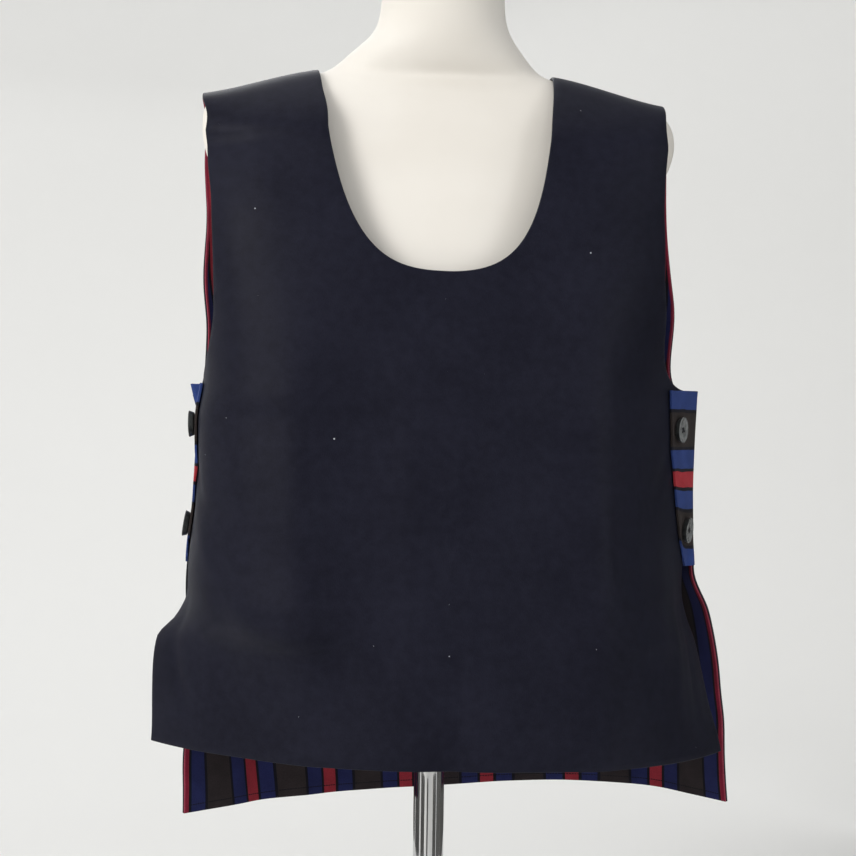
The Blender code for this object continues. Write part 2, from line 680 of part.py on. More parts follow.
def main():
    clearScene()
    black = (0.020, 0.020, 0.028)
    blue = (0.045, 0.065, 0.19)
    stripe = (0.030, 0.028, 0.060)
    grey = (0.30, 0.30, 0.31)
    cream = (0.80, 0.76, 0.70)
    chrome = (0.55, 0.55, 0.55)
    frontCut = panelCut(frontShape)
    backCut = panelCut(backShape)
    makePanel("front_panel", front, frontCut, clothWall / 2, -clothWall / 2, black, 0.9)
    half = (outerWall + liningWall + plyGap) / 2
    makePanel("back_outer", back, backCut, half, half - outerWall, black, 0.9)
    makePanel("back_lining", back, backCut, liningWall - half, -half, stripe, 0.85)
    for word, side in (("right", -1.0), ("left", 1.0)):
        middle, normal = makeTab(word + "_tab", side, blue)
        for spot in buttonPlaces:
            makeButton(word + "_" + spot.word + "_button", middle, normal, spot, grey)
    makeForm(cream)
    poleTop = formBottomZ - seamGap
    poleFoot = baseThick + collarHigh + seamGap
    pole = [(poleRadius, poleTop), (poleRadius, poleFoot)]
    makeTurned("pole", pole, poleSides, chrome, 0.12, 1.0)
    collarTop = baseThick + collarHigh
    base = [
        (collarRadius - edgeRound, collarTop),
        (collarRadius, collarTop - edgeRound),
        (collarRadius, baseThick + edgeRound),
        (collarRadius + edgeRound, baseThick),
        (baseRadius - edgeRound, baseThick * 0.86),
        (baseRadius, baseThick * 0.45),
        (baseRadius, 0.0),
    ]
    makeTurned("base", base, baseSides, chrome, 0.18, 1.0)


main()
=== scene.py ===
# Layered tabard vest on a limbless dress form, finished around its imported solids.
# Each cloth piece starts flat: "out" is the distance from the centre line and "down" the
# distance along the cloth from the neck points. It is then hung on the form at full length.
import math
from collections import namedtuple

import bpy
import numpy as np
from mathutils import Matrix, Vector
from mathutils.geometry import delaunay_2d_cdt


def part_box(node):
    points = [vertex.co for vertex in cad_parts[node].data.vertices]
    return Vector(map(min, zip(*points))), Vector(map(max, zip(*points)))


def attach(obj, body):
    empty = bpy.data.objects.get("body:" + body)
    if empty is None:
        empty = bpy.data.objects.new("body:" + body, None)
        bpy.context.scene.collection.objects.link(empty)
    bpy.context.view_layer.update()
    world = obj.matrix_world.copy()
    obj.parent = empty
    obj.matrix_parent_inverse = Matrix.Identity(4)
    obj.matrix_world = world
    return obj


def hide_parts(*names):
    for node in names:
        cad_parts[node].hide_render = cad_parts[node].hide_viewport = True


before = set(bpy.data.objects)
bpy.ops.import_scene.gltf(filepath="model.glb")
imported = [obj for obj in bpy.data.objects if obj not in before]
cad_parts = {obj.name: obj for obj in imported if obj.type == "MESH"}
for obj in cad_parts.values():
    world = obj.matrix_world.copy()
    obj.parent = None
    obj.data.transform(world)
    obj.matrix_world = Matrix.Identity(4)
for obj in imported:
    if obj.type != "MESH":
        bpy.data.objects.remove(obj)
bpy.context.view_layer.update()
print("frame loaded")


def newThing(name, data):
    thing = bpy.data.objects.new(name, data)
    bpy.context.scene.collection.objects.link(thing)
    return thing


# Camera: where the photo was taken from, worked out from the shoulder and tab heights

camera = {
    "far": 1.5,  # from the pole's axis
    "azimuth": -5.5,  # degrees, to the viewer's left of straight ahead
    "height": 0.615,
    "aimLeft": 0.19,  # degrees that the view is turned left of the axis
    "tilt": 0.91,
    "roll": 0.8,
    "lens": 74.2,
    "sensor": 36.0,
}


def setCamera(c):
    turn = math.radians(c["azimuth"])
    place = Vector((math.sin(turn), -math.cos(turn), 0.0)) * c["far"]
    place.z = c["height"]
    heading = math.radians(-c["azimuth"] - c["aimLeft"])
    tilt = math.radians(c["tilt"])
    level = math.cos(tilt)
    ahead = Vector((math.sin(heading) * level, math.cos(heading) * level, -math.sin(tilt)))
    right = ahead.cross(Vector((0, 0, 1))).normalized()
    up = right.cross(ahead)
    roll = math.radians(c["roll"])
    rolledRight = right * math.cos(roll) + up * math.sin(roll)
    rolledUp = up * math.cos(roll) - right * math.sin(roll)
    turned = Matrix((rolledRight, rolledUp, -ahead)).transposed().to_4x4()
    data = bpy.data.cameras.new("photoCamera")
    data.lens = c["lens"]
    data.sensor_width = c["sensor"]
    data.clip_start = 0.02
    thing = newThing("photoCamera", data)
    thing.matrix_world = Matrix.Translation(place) @ turned
    bpy.context.scene.camera = thing


setCamera(camera)
print("camera set")


# Cut and hang of the cloth: the same sizes and tables that the solids are made from

cut = {
    "neckHalf": 0.0985,
    "tipOut": 0.1935,
    "sideOut": 0.2825,
    "neckPointZ": 0.8873,
    "seamY": -0.012,
    "shoulderDrop": 0.0222,
    "shearFade": 0.1,
    "slopeFade": (0.05, 0.24),  # the shoulder's slope dies out over this much of the length
    "seamSlide": (0.0, 0.04),  # beside a shoulder seam the straps slide into line
    "seamClose": (0.0, 0.02),  # and meet edge to edge
    "neckRound": (0.63, 0.885, 0.87),
    "armRound": 0.78,
}
frontCut = {"neckDown": 0.218, "underarm": 0.308, "hem": 0.609, "armRise": 0.1845, "armBend": 0.178}
backCut = {"neckDown": 0.105, "underarm": 0.312, "hem": 0.67, "armRise": 0.223, "armBend": 0.208}

Fall = namedtuple("Fall", "down slope")
frontFall = [
    Fall(0.0, 0.0),
    Fall(0.045, 42.0),
    Fall(0.1, 64.0),
    Fall(0.16, 72.0),
    Fall(0.215, 82.0),
    Fall(0.29, 89.0),
    Fall(0.7, 90.0),
]
backFall = [
    Fall(0.0, 0.0),
    Fall(0.045, 42.0),
    Fall(0.09, 60.0),
    Fall(0.15, 74.0),
    Fall(0.22, 84.0),
    Fall(0.33, 88.0),
    Fall(0.7, 89.5),
]

Side = namedtuple("Side", "down centre twist outA backA turnA sagA outB backB turnB sagB")
frontSides = [
    Side(0.0, -0.0045, 0, 0.2825, 0.0, 0, 0.0, 0.2825, 0.0, 0, 0.0),
    Side(0.05, -0.0055, 0, 0.2815, 0.008, 8, 0.0, 0.281, 0.01, 10, 0.0),
    Side(0.11, -0.006, 0, 0.239, 0.098, 68, 0.0, 0.258, 0.072, 50, 0.0),
    Side(0.17, -0.005, 0, 0.209, 0.117, 86, 0.0, 0.228, 0.112, 75, 0.0),
    Side(0.24, -0.003, 0, 0.196, 0.126, 91, 0.0, 0.223, 0.119, 68, 0.0),
    Side(0.308, -0.0015, 0, 0.189, 0.127, 96, 0.0, 0.2215, 0.118, 54, 0.001),
    Side(0.34, -0.001, 0, 0.189, 0.127, 104, 0.0, 0.2195, 0.118, 56, 0.001),
    Side(0.395, 0.0, 0, 0.195, 0.127, 97, 0.0, 0.217, 0.119, 59, 0.002),
    Side(0.45, 0.0005, 0, 0.204, 0.127, 90, 0.0, 0.2135, 0.122, 64, 0.003),
    Side(0.48, 0.0015, 0, 0.206, 0.127, 84, 0.001, 0.2135, 0.124, 68, 0.003),
    Side(0.5, 0.002, 0, 0.216, 0.128, 72, 0.001, 0.217, 0.125, 68, 0.004),
    Side(0.52, 0.0025, 0, 0.233, 0.13, 58, 0.001, 0.224, 0.125, 66, 0.004),
    Side(0.55, 0.003, 0, 0.2365, 0.132, 56, 0.001, 0.231, 0.12, 62, 0.005),
    Side(0.61, 0.003, 0, 0.238, 0.134, 54, 0.0, 0.245, 0.112, 56, 0.007),
]
backSides = [
    Side(0.0, -0.0045, 0, 0.2825, 0.0, 0, 0.0, 0.2825, 0.0, 0, 0.0),
    Side(0.1, 0.006, 0, 0.281, 0.01, 10, 0.0, 0.281, 0.008, 8, 0.0),
    Side(0.22, 0.0095, 0, 0.238, 0.08, 68, 0.0, 0.27, 0.048, 38, 0.0),
    Side(0.312, 0.012, 2, 0.215, 0.092, 78, 0.004, 0.2125, 0.094, 74, 0.0),
    Side(0.343, 0.013, 3, 0.2095, 0.093, 96, 0.002, 0.21, 0.095, 72, 0.0),
    Side(0.38, 0.014, 4, 0.213, 0.094, 92, 0.0, 0.209, 0.098, 75, 0.0),
    Side(0.46, 0.017, 7, 0.2225, 0.096, 80, 0.0, 0.211, 0.098, 80, 0.0),
    Side(0.5, 0.0185, 9, 0.2255, 0.098, 68, 0.0, 0.2245, 0.094, 74, 0.0),
    Side(0.56, 0.021, 11, 0.228, 0.103, 54, 0.0, 0.2355, 0.089, 66, 0.0),
    Side(0.67, 0.025, 14, 0.233, 0.106, 34, 0.0, 0.243, 0.078, 54, 0.0),
]

# Folds: the first rows are in the solids too, the narrow ones are only here
Fold = namedtuple("Fold", "out top bottom width stand lean")
frontFolds = [
    Fold(-0.124, 0.24, 0.66, 0.034, 0.0028, 0.01),
    Fold(-0.066, 0.23, 0.6, 0.026, -0.003, 0.004),
    Fold(0.014, 0.25, 0.56, 0.022, 0.0018, 0.008),
    Fold(0.003, 0.52, 0.68, 0.016, -0.0034, -0.004),
    Fold(0.066, 0.3, 0.64, 0.03, -0.0018, 0.006),
    Fold(0.122, 0.22, 0.65, 0.034, 0.0026, -0.012),
    Fold(0.0, 0.215, 0.59, 0.004, 0.00065, 0.0),  # pressed crease down the centre
    Fold(0.02, 0.42, 0.6, 0.009, -0.0009, -0.012),
    Fold(-0.124, 0.225, 0.66, 0.019, 0.0024, 0.01),
    Fold(-0.188, 0.24, 0.64, 0.022, -0.003, 0.006),
    Fold(-0.084, 0.26, 0.62, 0.018, -0.0017, -0.006),
    Fold(-0.03, 0.3, 0.6, 0.013, 0.0008, 0.008),
    Fold(0.088, 0.27, 0.65, 0.018, -0.0018, -0.008),
    Fold(0.13, 0.21, 0.7, 0.016, 0.0032, -0.004),
    Fold(0.186, 0.3, 0.62, 0.02, -0.0016, -0.006),
]
backFolds = [
    Fold(-0.2, 0.42, 0.8, 0.022, 0.0052, 0.012),
    Fold(-0.15, 0.38, 0.78, 0.024, -0.0046, 0.006),
    Fold(-0.07, 0.16, 0.7, 0.034, 0.003, 0.008),
    Fold(0.008, 0.24, 0.74, 0.026, -0.0026, -0.004),
    Fold(0.084, 0.18, 0.69, 0.036, 0.003, -0.01),
    Fold(0.16, 0.36, 0.75, 0.024, -0.0032, -0.008),
    Fold(0.208, 0.44, 0.77, 0.024, 0.0034, -0.006),
    Fold(-0.112, 0.18, 0.74, 0.018, 0.002, -0.008),
    Fold(-0.04, 0.3, 0.76, 0.015, -0.0016, 0.01),
    Fold(0.046, 0.26, 0.72, 0.016, 0.0016, 0.006),
    Fold(0.122, 0.2, 0.76, 0.018, -0.0018, 0.01),
]

# Soft creases between two points of the flat piece: uneven in length, depth and spacing
Crease = namedtuple("Crease", "out down toOut toDown width stand")
frontCreases = [
    Crease(-0.262, 0.33, -0.196, 0.42, 0.0075, -0.0011),
    Crease(-0.248, 0.372, -0.15, 0.505, 0.01, 0.001),
    Crease(-0.266, 0.47, -0.226, 0.59, 0.008, -0.0012),
    Crease(0.268, 0.48, 0.246, 0.6, 0.007, -0.0013),
    Crease(0.244, 0.455, 0.214, 0.588, 0.0085, 0.0011),
    Crease(0.258, 0.336, 0.188, 0.41, 0.0075, -0.001),
    Crease(-0.15, 0.06, -0.128, 0.19, 0.009, 0.0007),
    Crease(0.156, 0.052, 0.132, 0.17, 0.0085, 0.0007),
    Crease(-0.052, 0.262, -0.03, 0.42, 0.011, -0.0006),
    Crease(0.05, 0.3, 0.034, 0.47, 0.01, -0.0006),
]
backCreases = [
    Crease(-0.258, 0.34, -0.15, 0.44, 0.01, -0.0014),
    Crease(-0.262, 0.38, -0.182, 0.5, 0.0085, 0.0012),
    Crease(0.256, 0.338, 0.146, 0.452, 0.01, -0.0014),
    Crease(0.264, 0.392, 0.19, 0.505, 0.0085, 0.0012),
    Crease(-0.062, 0.112, -0.15, 0.215, 0.011, -0.001),
    Crease(0.058, 0.114, 0.142, 0.226, 0.011, -0.001),
    Crease(-0.118, 0.43, -0.098, 0.65, 0.012, 0.0014),
    Crease(-0.034, 0.36, -0.046, 0.56, 0.01, -0.001),
    Crease(0.044, 0.4, 0.058, 0.64, 0.012, 0.0012),
    Crease(0.12, 0.455, 0.138, 0.66, 0.0095, -0.0013),
    Crease(-0.236, 0.5, -0.222, 0.66, 0.009, 0.0012),
    Crease(0.01, 0.13, 0.004, 0.3, 0.009, 0.0007),
]

hold = {
    "steps": 48,
    "levels": 90,
    "shortest": 0.02,  # a level section's handles are sought between these two
    "longest": 0.195,
    "halvings": 34,
    "centreHandle": 0.8,
    "sideHandle": 0.62,
    "creaseBow": 0.05,
}


def smoothRow(rows, column, at):
    xs = np.array([row[0] for row in rows])
    ys = np.array([getattr(row, column) for row in rows], dtype=float)
    at = np.clip(at, xs[0], xs[-1])
    slopes = np.diff(ys) / np.diff(xs)
    ends = np.zeros_like(ys)
    ends[0] = slopes[0]
    ends[-1] = slopes[-1]
    same = slopes[:-1] * slopes[1:] > 0
    total = np.where(same, slopes[:-1] + slopes[1:], 1.0)
    ends[1:-1] = np.where(same, 2.0 * slopes[:-1] * slopes[1:] / total, 0.0)
    cell = np.clip(np.searchsorted(xs, at, side="right") - 1, 0, len(xs) - 2)
    wide = xs[cell + 1] - xs[cell]
    part = (at - xs[cell]) / wide
    back = 1.0 - part
    return (
        ys[cell] * back * back * (1.0 + 2.0 * part)
        + ends[cell] * wide * part * back * back
        + ys[cell + 1] * part * part * (3.0 - 2.0 * part)
        - ends[cell + 1] * wide * part * part * back
    )


def smoothStep(low, high, at):
    part = np.clip((at - low) / (high - low), 0.0, 1.0)
    return part * part * (3.0 - 2.0 * part)


def hang(falls, down):
    away = np.zeros_like(down)
    drop = np.zeros_like(down)
    for upper, lower in zip(falls[:-1], falls[1:]):
        length = lower.down - upper.down
        run = np.clip(down - upper.down, 0.0, length)
        first = math.radians(upper.slope)
        rate = math.radians(lower.slope - upper.slope) / length
        angle = first + rate * run
        away += (np.sin(angle) - math.sin(first)) / rate
        drop += (math.cos(first) - np.cos(angle)) / rate
    return away, drop


def shoulderFall(out):
    part = np.clip((out - cut["neckHalf"]) / (cut["tipOut"] - cut["neckHalf"]), 0.0, 1.0)
    return cut["shoulderDrop"] * (0.6 * part + 0.4 * smoothStep(0.0, 1.0, part))


def curveThrough(points, u):
    v = 1.0 - u
    first, second, third, last = points
    return v * v * v * first + 3 * v * v * u * second + 3 * v * u * u * third + u * u * u * last


def handles(ends, reach):
    out, back, turn, twist = ends
    angle = np.radians(turn)
    start = np.radians(twist)
    zero = np.zeros_like(out)
    near = reach * hold["centreHandle"]
    far = reach * hold["sideHandle"]
    xs = (zero, near * np.cos(start), out - far * np.cos(angle), out)
    ys = (zero, near * np.sin(start), back - far * np.sin(angle), back)
    return xs, ys


def sectionSteps(ends, reach):
    # the handles of a level section, and the lengths of its short steps
    u = np.linspace(0.0, 1.0, hold["steps"] + 1)[:, None]
    xs, ys = handles(ends, reach)
    x, y = (np.diff(curveThrough(points, u), axis=0) for points in (xs, ys))
    return xs, ys, np.hypot(x, y)


def fitReach(ends, length):
    low = np.full_like(ends[0], hold["shortest"])
    high = np.full_like(ends[0], hold["longest"])
    for _ in range(hold["halvings"]):
        reach = 0.5 * (low + high)
        short = sectionSteps(ends, reach)[2].sum(axis=0) < length
        low = np.where(short, reach, low)
        high = np.where(short, high, reach)
    return 0.5 * (low + high)


class Hanging:
    # one cut piece and the way it hangs: facing is -1 for the front and 1 for the back

    def __init__(self, falls, sides, folds, creases, facing, hem):
        self.falls = falls
        self.sides = sides
        self.folds = folds
        self.creases = creases
        self.facing = facing
        self.levels = np.linspace(0.0, hem, hold["levels"])
        self.reach = {hand: fitReach(self.ends(hand, self.levels), cut["sideOut"]) for hand in "AB"}

    def ends(self, hand, down):
        read = [smoothRow(self.sides, name + hand, down) for name in ("out", "back", "turn")]
        twist = smoothRow(self.sides, "twist", down)
        return (*read, twist if hand == "A" else -twist)

    def section(self, out, down):
        across = np.zeros_like(out)
        behind = np.zeros_like(out)
        steps = hold["steps"]
        for hand, mine in (("A", out < 0.0), ("B", out >= 0.0)):
            if not mine.any():
                continue
            ends = self.ends(hand, down[mine])
            reach = np.interp(down[mine], self.levels, self.reach[hand])
            xs, ys, step = sectionSteps(ends, reach)
            far = np.vstack([np.zeros(step.shape[1]), np.cumsum(step, axis=0)])
            want = np.abs(out[mine]) * np.minimum(far[-1] / cut["sideOut"], 1.0)
            cell = np.clip((far < want).sum(axis=0) - 1, 0, steps - 1)
            spot = np.arange(len(want))
            part = (want - far[cell, spot]) / (far[cell + 1, spot] - far[cell, spot])
            at = (cell + part) / steps
            across[mine] = curveThrough(xs, at)
            behind[mine] = curveThrough(ys, at)
        return np.where(out < 0.0, -1.0, 1.0) * across, behind

    def middle(self, out, down):
        slope = shoulderFall(np.abs(out)) * (1.0 - smoothStep(*cut["slopeFade"], down))
        level = np.maximum(down - slope, 0.0)
        away, drop = hang(self.falls, level)
        across, behind = self.section(out, down)
        near = slope * (1.0 - smoothStep(*cut["seamSlide"], level))
        x = smoothRow(self.sides, "centre", down - near) + across
        behind = behind * smoothStep(*cut["seamClose"], level)
        y = cut["seamY"] + self.facing * (away - behind)
        sagA, sagB = (smoothRow(self.sides, "sag" + hand, down) for hand in "AB")
        sag = np.where(out < 0.0, sagA, sagB) * np.abs(out) / cut["sideOut"]
        return np.stack([x, y, cut["neckPointZ"] - slope - drop - sag], axis=-1)

    def foldStand(self, out, down):
        stand = np.zeros_like(out)
        for fold in self.folds:
            run = (down - fold.top) / (fold.bottom - fold.top)
            fade = np.clip(4.0 * run * (1.0 - run), 0.0, 1.0)
            off = (out - fold.out - fold.lean * run) / fold.width
            stand += fold.stand * fade * np.exp(-off * off)
        for crease in self.creases:
            across, along = crease.toOut - crease.out, crease.toDown - crease.down
            length = math.hypot(across, along)
            run = ((out - crease.out) * across + (down - crease.down) * along) / length**2
            off = ((out - crease.out) * along - (down - crease.down) * across) / length
            off = off + hold["creaseBow"] * length * np.sin(math.pi * np.clip(run, 0.0, 1.0))
            fade = np.clip(4.0 * run * (1.0 - run), 0.0, 1.0) ** 1.5
            stand += crease.stand * fade * np.exp(-((off / crease.width) ** 2))
        return stand

    def surface(self, out, down, moved):
        out = np.asarray(out, dtype=float)
        down = np.asarray(down, dtype=float)
        small = 0.0004
        here = self.middle(out, down)
        wide = self.middle(out + small, down) - self.middle(out - small, down)
        tall = self.middle(out, down + small) - self.middle(out, np.maximum(down - small, 0.0))
        normal = np.cross(wide, tall) * self.facing
        normal /= np.linalg.norm(normal, axis=-1, keepdims=True)
        stand = self.foldStand(out, down) + moved
        return here + normal * np.asarray(stand)[..., None]


frontHang = Hanging(frontFall, frontSides, frontFolds, frontCreases, -1.0, frontCut["hem"])
backHang = Hanging(backFall, backSides, backFolds, backCreases, 1.0, backCut["hem"])


# Flat pieces: their outlines, a fine lattice inside, and how far each point is from an edge.
# A line or a set of points is two rows here, out and down from the neck points' level

lattice = {
    "curveSteps": 300,
    "edgeRoom": 0.45,  # the share of a cell that stays clear beside an edge
    "edgeStep": 0.0008,  # between the points that the way to an edge is measured from
    "batch": 1500,  # points measured at once
}


def neckline(neckDown, part):
    first, second, third = cut["neckRound"]
    outs = (0.0, first * cut["neckHalf"], second * cut["neckHalf"], cut["neckHalf"])
    downs = (neckDown, neckDown, third * neckDown, 0.0)
    return np.array([curveThrough(outs, part), curveThrough(downs, part)])


def armhole(piece, part):
    underarm = piece["underarm"]
    outs = (cut["sideOut"], piece["armBend"], piece["armRise"], cut["tipOut"])
    downs = (underarm, underarm, cut["armRound"] * underarm, 0.0)
    return np.array([curveThrough(outs, part), curveThrough(downs, part)])


def evenly(line, step):
    far = np.concatenate([[0.0], np.cumsum(np.hypot(*np.diff(line)))])
    at = np.linspace(0.0, far[-1], max(1, round(far[-1] / step)) + 1)[:-1]
    return np.array([np.interp(at, far, row) for row in line])


def nearest(points, edge):
    found = np.zeros(points.shape[1])
    for start in range(0, len(found), lattice["batch"]):
        mine = slice(start, start + lattice["batch"])
        found[mine] = np.hypot(*(points[:, mine, None] - edge[:, None])).min(axis=1)
    return found


def flatPiece(piece, cell):
    neckDown, underarm, hem = piece["neckDown"], piece["underarm"], piece["hem"]
    side = cut["sideOut"]
    part = np.linspace(0.0, 1.0, lattice["curveSteps"])
    neck = neckline(neckDown, part)
    arm = armhole(piece, part)[:, ::-1]
    lines = [
        neck,
        np.array([[cut["neckHalf"], cut["tipOut"]], [0.0, 0.0]]),
        arm,
        np.array([[side, side], [underarm, hem]]),
        np.array([[side, 0.0], [hem, hem]]),
    ]
    half = np.hstack([evenly(line, cell) for line in lines] + [[[0.0], [hem]]])
    edge = np.hstack([half, half[:, -2:0:-1] * [[-1.0], [1.0]]])
    across = np.linspace(-side, side, 2 * round(side / cell) + 1)[1:-1]
    along = np.linspace(0.0, hem, round(hem / cell) + 1)[1:-1]
    inside = np.array(np.meshgrid(across, along)).reshape(2, -1)
    out, level = np.abs(inside)
    inner = np.where(level < neckDown, np.interp(level, neck[1, ::-1], neck[0, ::-1]), -1.0)
    outer = np.where(level < underarm, np.interp(level, arm[1], arm[0]), side)
    inside = inside[:, (out > inner) & (out < outer)]
    inside = inside[:, nearest(inside, edge) > lattice["edgeRoom"] * cell]
    points = [(float(a), float(-b)) for a, b in np.hstack([edge, inside]).T]
    flat = delaunay_2d_cdt(points, [], [list(range(edge.shape[1]))], 1, 1e-8)
    out, level = np.array([tuple(point) for point in flat[0]]).T * [[1.0], [-1.0]]
    # distance to the bound edges: neckline, armholes and sides, but not the seams or the hem
    bound = np.hstack([evenly(lines[k], lattice["edgeStep"]) for k in (0, 2, 3)])
    bind = nearest(np.array([np.abs(out), level]), bound)
    fade = np.clip(1.0 - level / cut["shearFade"], 0.0, 1.0) ** 2
    down = level + shoulderFall(np.abs(out)) * fade
    return {"out": out, "down": down, "bind": bind, "faces": [tuple(face) for face in flat[2]]}


def flatArea(flat):
    points = np.stack([flat["out"], flat["down"]], axis=1)
    a, b, c = points[np.array(flat["faces"]).T]
    ab, ac = b - a, c - a
    return float(0.5 * np.abs(ab[:, 0] * ac[:, 1] - ab[:, 1] * ac[:, 0]).sum())


def pickOnly(thing):
    bpy.ops.object.select_all(action="DESELECT")
    thing.select_set(True)
    bpy.context.view_layer.objects.active = thing


def applyAll(thing):
    pickOnly(thing)
    for modifier in list(thing.modifiers):
        bpy.ops.object.modifier_apply(modifier=modifier.name)


def roundEdges(thing, width, segments, angle):
    rounding = thing.modifiers.new("rounding", "BEVEL")
    rounding.width = width
    rounding.segments = segments
    rounding.limit_method = "ANGLE"
    rounding.angle_limit = math.radians(angle)
    applyAll(thing)


def shadeSmooth(angle):
    bpy.ops.object.shade_smooth_by_angle(angle=math.radians(angle))


def settled(name):
    # the primitive just added, applied in its place
    bpy.ops.object.transform_apply(location=True, rotation=True, scale=True)
    bpy.context.object.name = name
    return bpy.context.object


def newCylinder(name, around, radius, depth, place=(0, 0, 0)):
    bpy.ops.object.select_all(action="DESELECT")
    bpy.ops.mesh.primitive_cylinder_add(vertices=around, radius=radius, depth=depth, location=place)
    return settled(name)


def pickFaces(thing, test):
    # leaves the piece in edit mode with only the faces that pass the test selected
    bpy.ops.object.mode_set(mode="EDIT")
    bpy.ops.mesh.select_mode(type="FACE")
    bpy.ops.mesh.select_all(action="DESELECT")
    bpy.ops.object.mode_set(mode="OBJECT")
    for face in thing.data.polygons:
        face.select = test(face)
    bpy.ops.object.mode_set(mode="EDIT")


def clothPiece(name, points, faces, flatPlace, wall):
    # a sheet with its flat place kept on every point: out, down, distance from a bound edge
    mesh = bpy.data.meshes.new(name)
    mesh.from_pydata([tuple(point) for point in points], [], faces)
    flatSpot = mesh.attributes.new("flat", "FLOAT_VECTOR", "POINT")
    flatSpot.data.foreach_set("vector", np.asarray(flatPlace, dtype=np.float32).reshape(-1))
    mesh.shade_smooth()
    thing = newThing(name, mesh)
    thick = thing.modifiers.new("wall", "SOLIDIFY")
    thick.thickness = wall
    thick.offset = 0.0
    roundEdges(thing, wall * 0.32, 2, 60)
    shadeSmooth(70)
    return thing


panelLook = {
    "cell": 0.005,
    "frontWall": 0.0024,
    "outerWall": 0.0014,
    "liningWall": 0.0011,
    "plyGap": 0.0005,
    "edgeWave": 0.0007,  # how far the free edges waver
    "waveLength": 0.085,
    "waveFrom": (0.06, 0.14),  # down from the shoulder, where the waver begins
    "waveReach": 0.022,  # how far in from an edge it dies out
}


def edgeWaver(flat):
    # free edges waver a little and unevenly, as cut cloth does
    phase = 2 * math.pi * flat["down"] / panelLook["waveLength"] + 1.1 * np.sign(flat["out"])
    lower = smoothStep(*panelLook["waveFrom"], flat["down"])
    reach = np.exp(-((flat["bind"] / panelLook["waveReach"]) ** 2))
    return panelLook["edgeWave"] * np.sin(phase + 0.6 * np.sin(0.7 * phase)) * reach * lower


def hangPiece(name, hanging, flat, moved, wall):
    points = hanging.surface(flat["out"], flat["down"], moved + edgeWaver(flat))
    place = np.stack([flat["out"], flat["down"], flat["bind"]], axis=-1)
    return clothPiece(name, points, flat["faces"], place, wall)


p = panelLook
frontFlat = flatPiece(frontCut, p["cell"])
backFlat = flatPiece(backCut, p["cell"])
backHalf = (p["outerWall"] + p["liningWall"] + p["plyGap"]) / 2
outerMoved = backHalf - p["outerWall"] / 2
liningMoved = p["liningWall"] / 2 - backHalf
frontCloth = hangPiece("frontCloth", frontHang, frontFlat, 0.0, p["frontWall"])
backCloth = hangPiece("backCloth", backHang, backFlat, outerMoved, p["outerWall"])
liningCloth = hangPiece("liningCloth", backHang, backFlat, liningMoved, p["liningWall"])
print("front, back and lining hung")


# Side tabs: sewn at the back's side edges, lapped round the front's sides and buttoned

tab = {
    "top": 0.626,
    "bottom": 0.4765,
    "overFront": 0.056,
    "slope": 0.012,  # its buttoned edge slopes back by this much down to the lower end
    "slant": 0.035,  # and its lower corner is swept back by this much more
    "raise": 0.012,
    "clear": 0.0011,
    "seamGap": 0.0013,
    "levels": (0.05, 0.66, 240),  # where along a panel its heights are read, and how far out
    "levelsOut": 0.2,
    "backStrip": 0.006,  # the strip of the back whose slope the sewn edge follows
    "turnHandle": 0.4,
    "wall": 0.0018,
    "rows": 61,
    "alongFront": 37,
    "alongTurn": 12,
    "ripple": 0.00024,  # how far the cloth between the buttons stands in and out
    "rippleFade": 0.012,
    "rippleDown": 0.052,
    "rippleAlong": 0.041,
    "rippleDrift": 30.0,
    "sewnFar": 0.02,  # the sewn edge counts as this much farther off than it is
    "creaseAt": 0.016,  # a soft crease behind the buttoned edge
    "creaseLean": 0.1,
    "creaseWide": 0.006,
    "pastSide": 0.0015,  # the turn begins just past the front's side edge
}


def downAtHeight(hanging, side, z):
    downs = np.linspace(*tab["levels"])
    heights = hanging.middle(np.full(downs.shape, side * tab["levelsOut"]), downs)[:, 2]
    return np.interp(-z, -heights, downs)


def tabLine(side, z, lift):
    lower = (tab["top"] - z) / (tab["top"] - tab["bottom"])
    count = tab["alongFront"]
    start = cut["sideOut"] - tab["overFront"] + tab["slope"] * lower + tab["slant"] * lower**3
    outs = np.linspace(start, cut["sideOut"] + tab["pastSide"], count)
    raised = z + tab["raise"] * lower**3 * np.linspace(1.0, 0.0, count) ** 2
    levels = downAtHeight(frontHang, side, raised)
    line = list(frontHang.surface(side * outs, levels, lift))
    ahead = line[-1] - line[-2]
    ahead /= np.linalg.norm(ahead)
    behindLevel = downAtHeight(backHang, side, z)
    pair = side * np.array([cut["sideOut"] - tab["backStrip"], cut["sideOut"]])
    edges = backHang.surface(pair, np.full(2, behindLevel), 0.0)
    inward = edges[0] - edges[1]
    inward /= np.linalg.norm(inward)
    goal = edges[1] - inward * tab["seamGap"]
    goal[2] = line[-1][2]
    gap = np.linalg.norm(goal - line[-1])
    reach = gap * tab["turnHandle"]
    bend = [line[-1], line[-1] + ahead * reach, goal - inward * reach, goal]
    for step in range(1, tab["alongTurn"] + 1):
        line.append(curveThrough(bend, step / tab["alongTurn"]))
    return np.array(line)


def tabGrid(side):
    lift = panelLook["frontWall"] / 2 + tab["clear"] + tab["wall"] / 2
    heights = np.linspace(tab["top"], tab["bottom"], tab["rows"])
    middle = np.array([tabLine(side, z, lift) for z in heights])
    along = np.gradient(middle, axis=1)
    tall = np.gradient(middle, axis=0)
    normal = np.cross(along, tall)
    normal /= np.linalg.norm(normal, axis=-1, keepdims=True)
    if normal[4, 4][0] * side < 0:
        normal = -normal
    return middle, normal


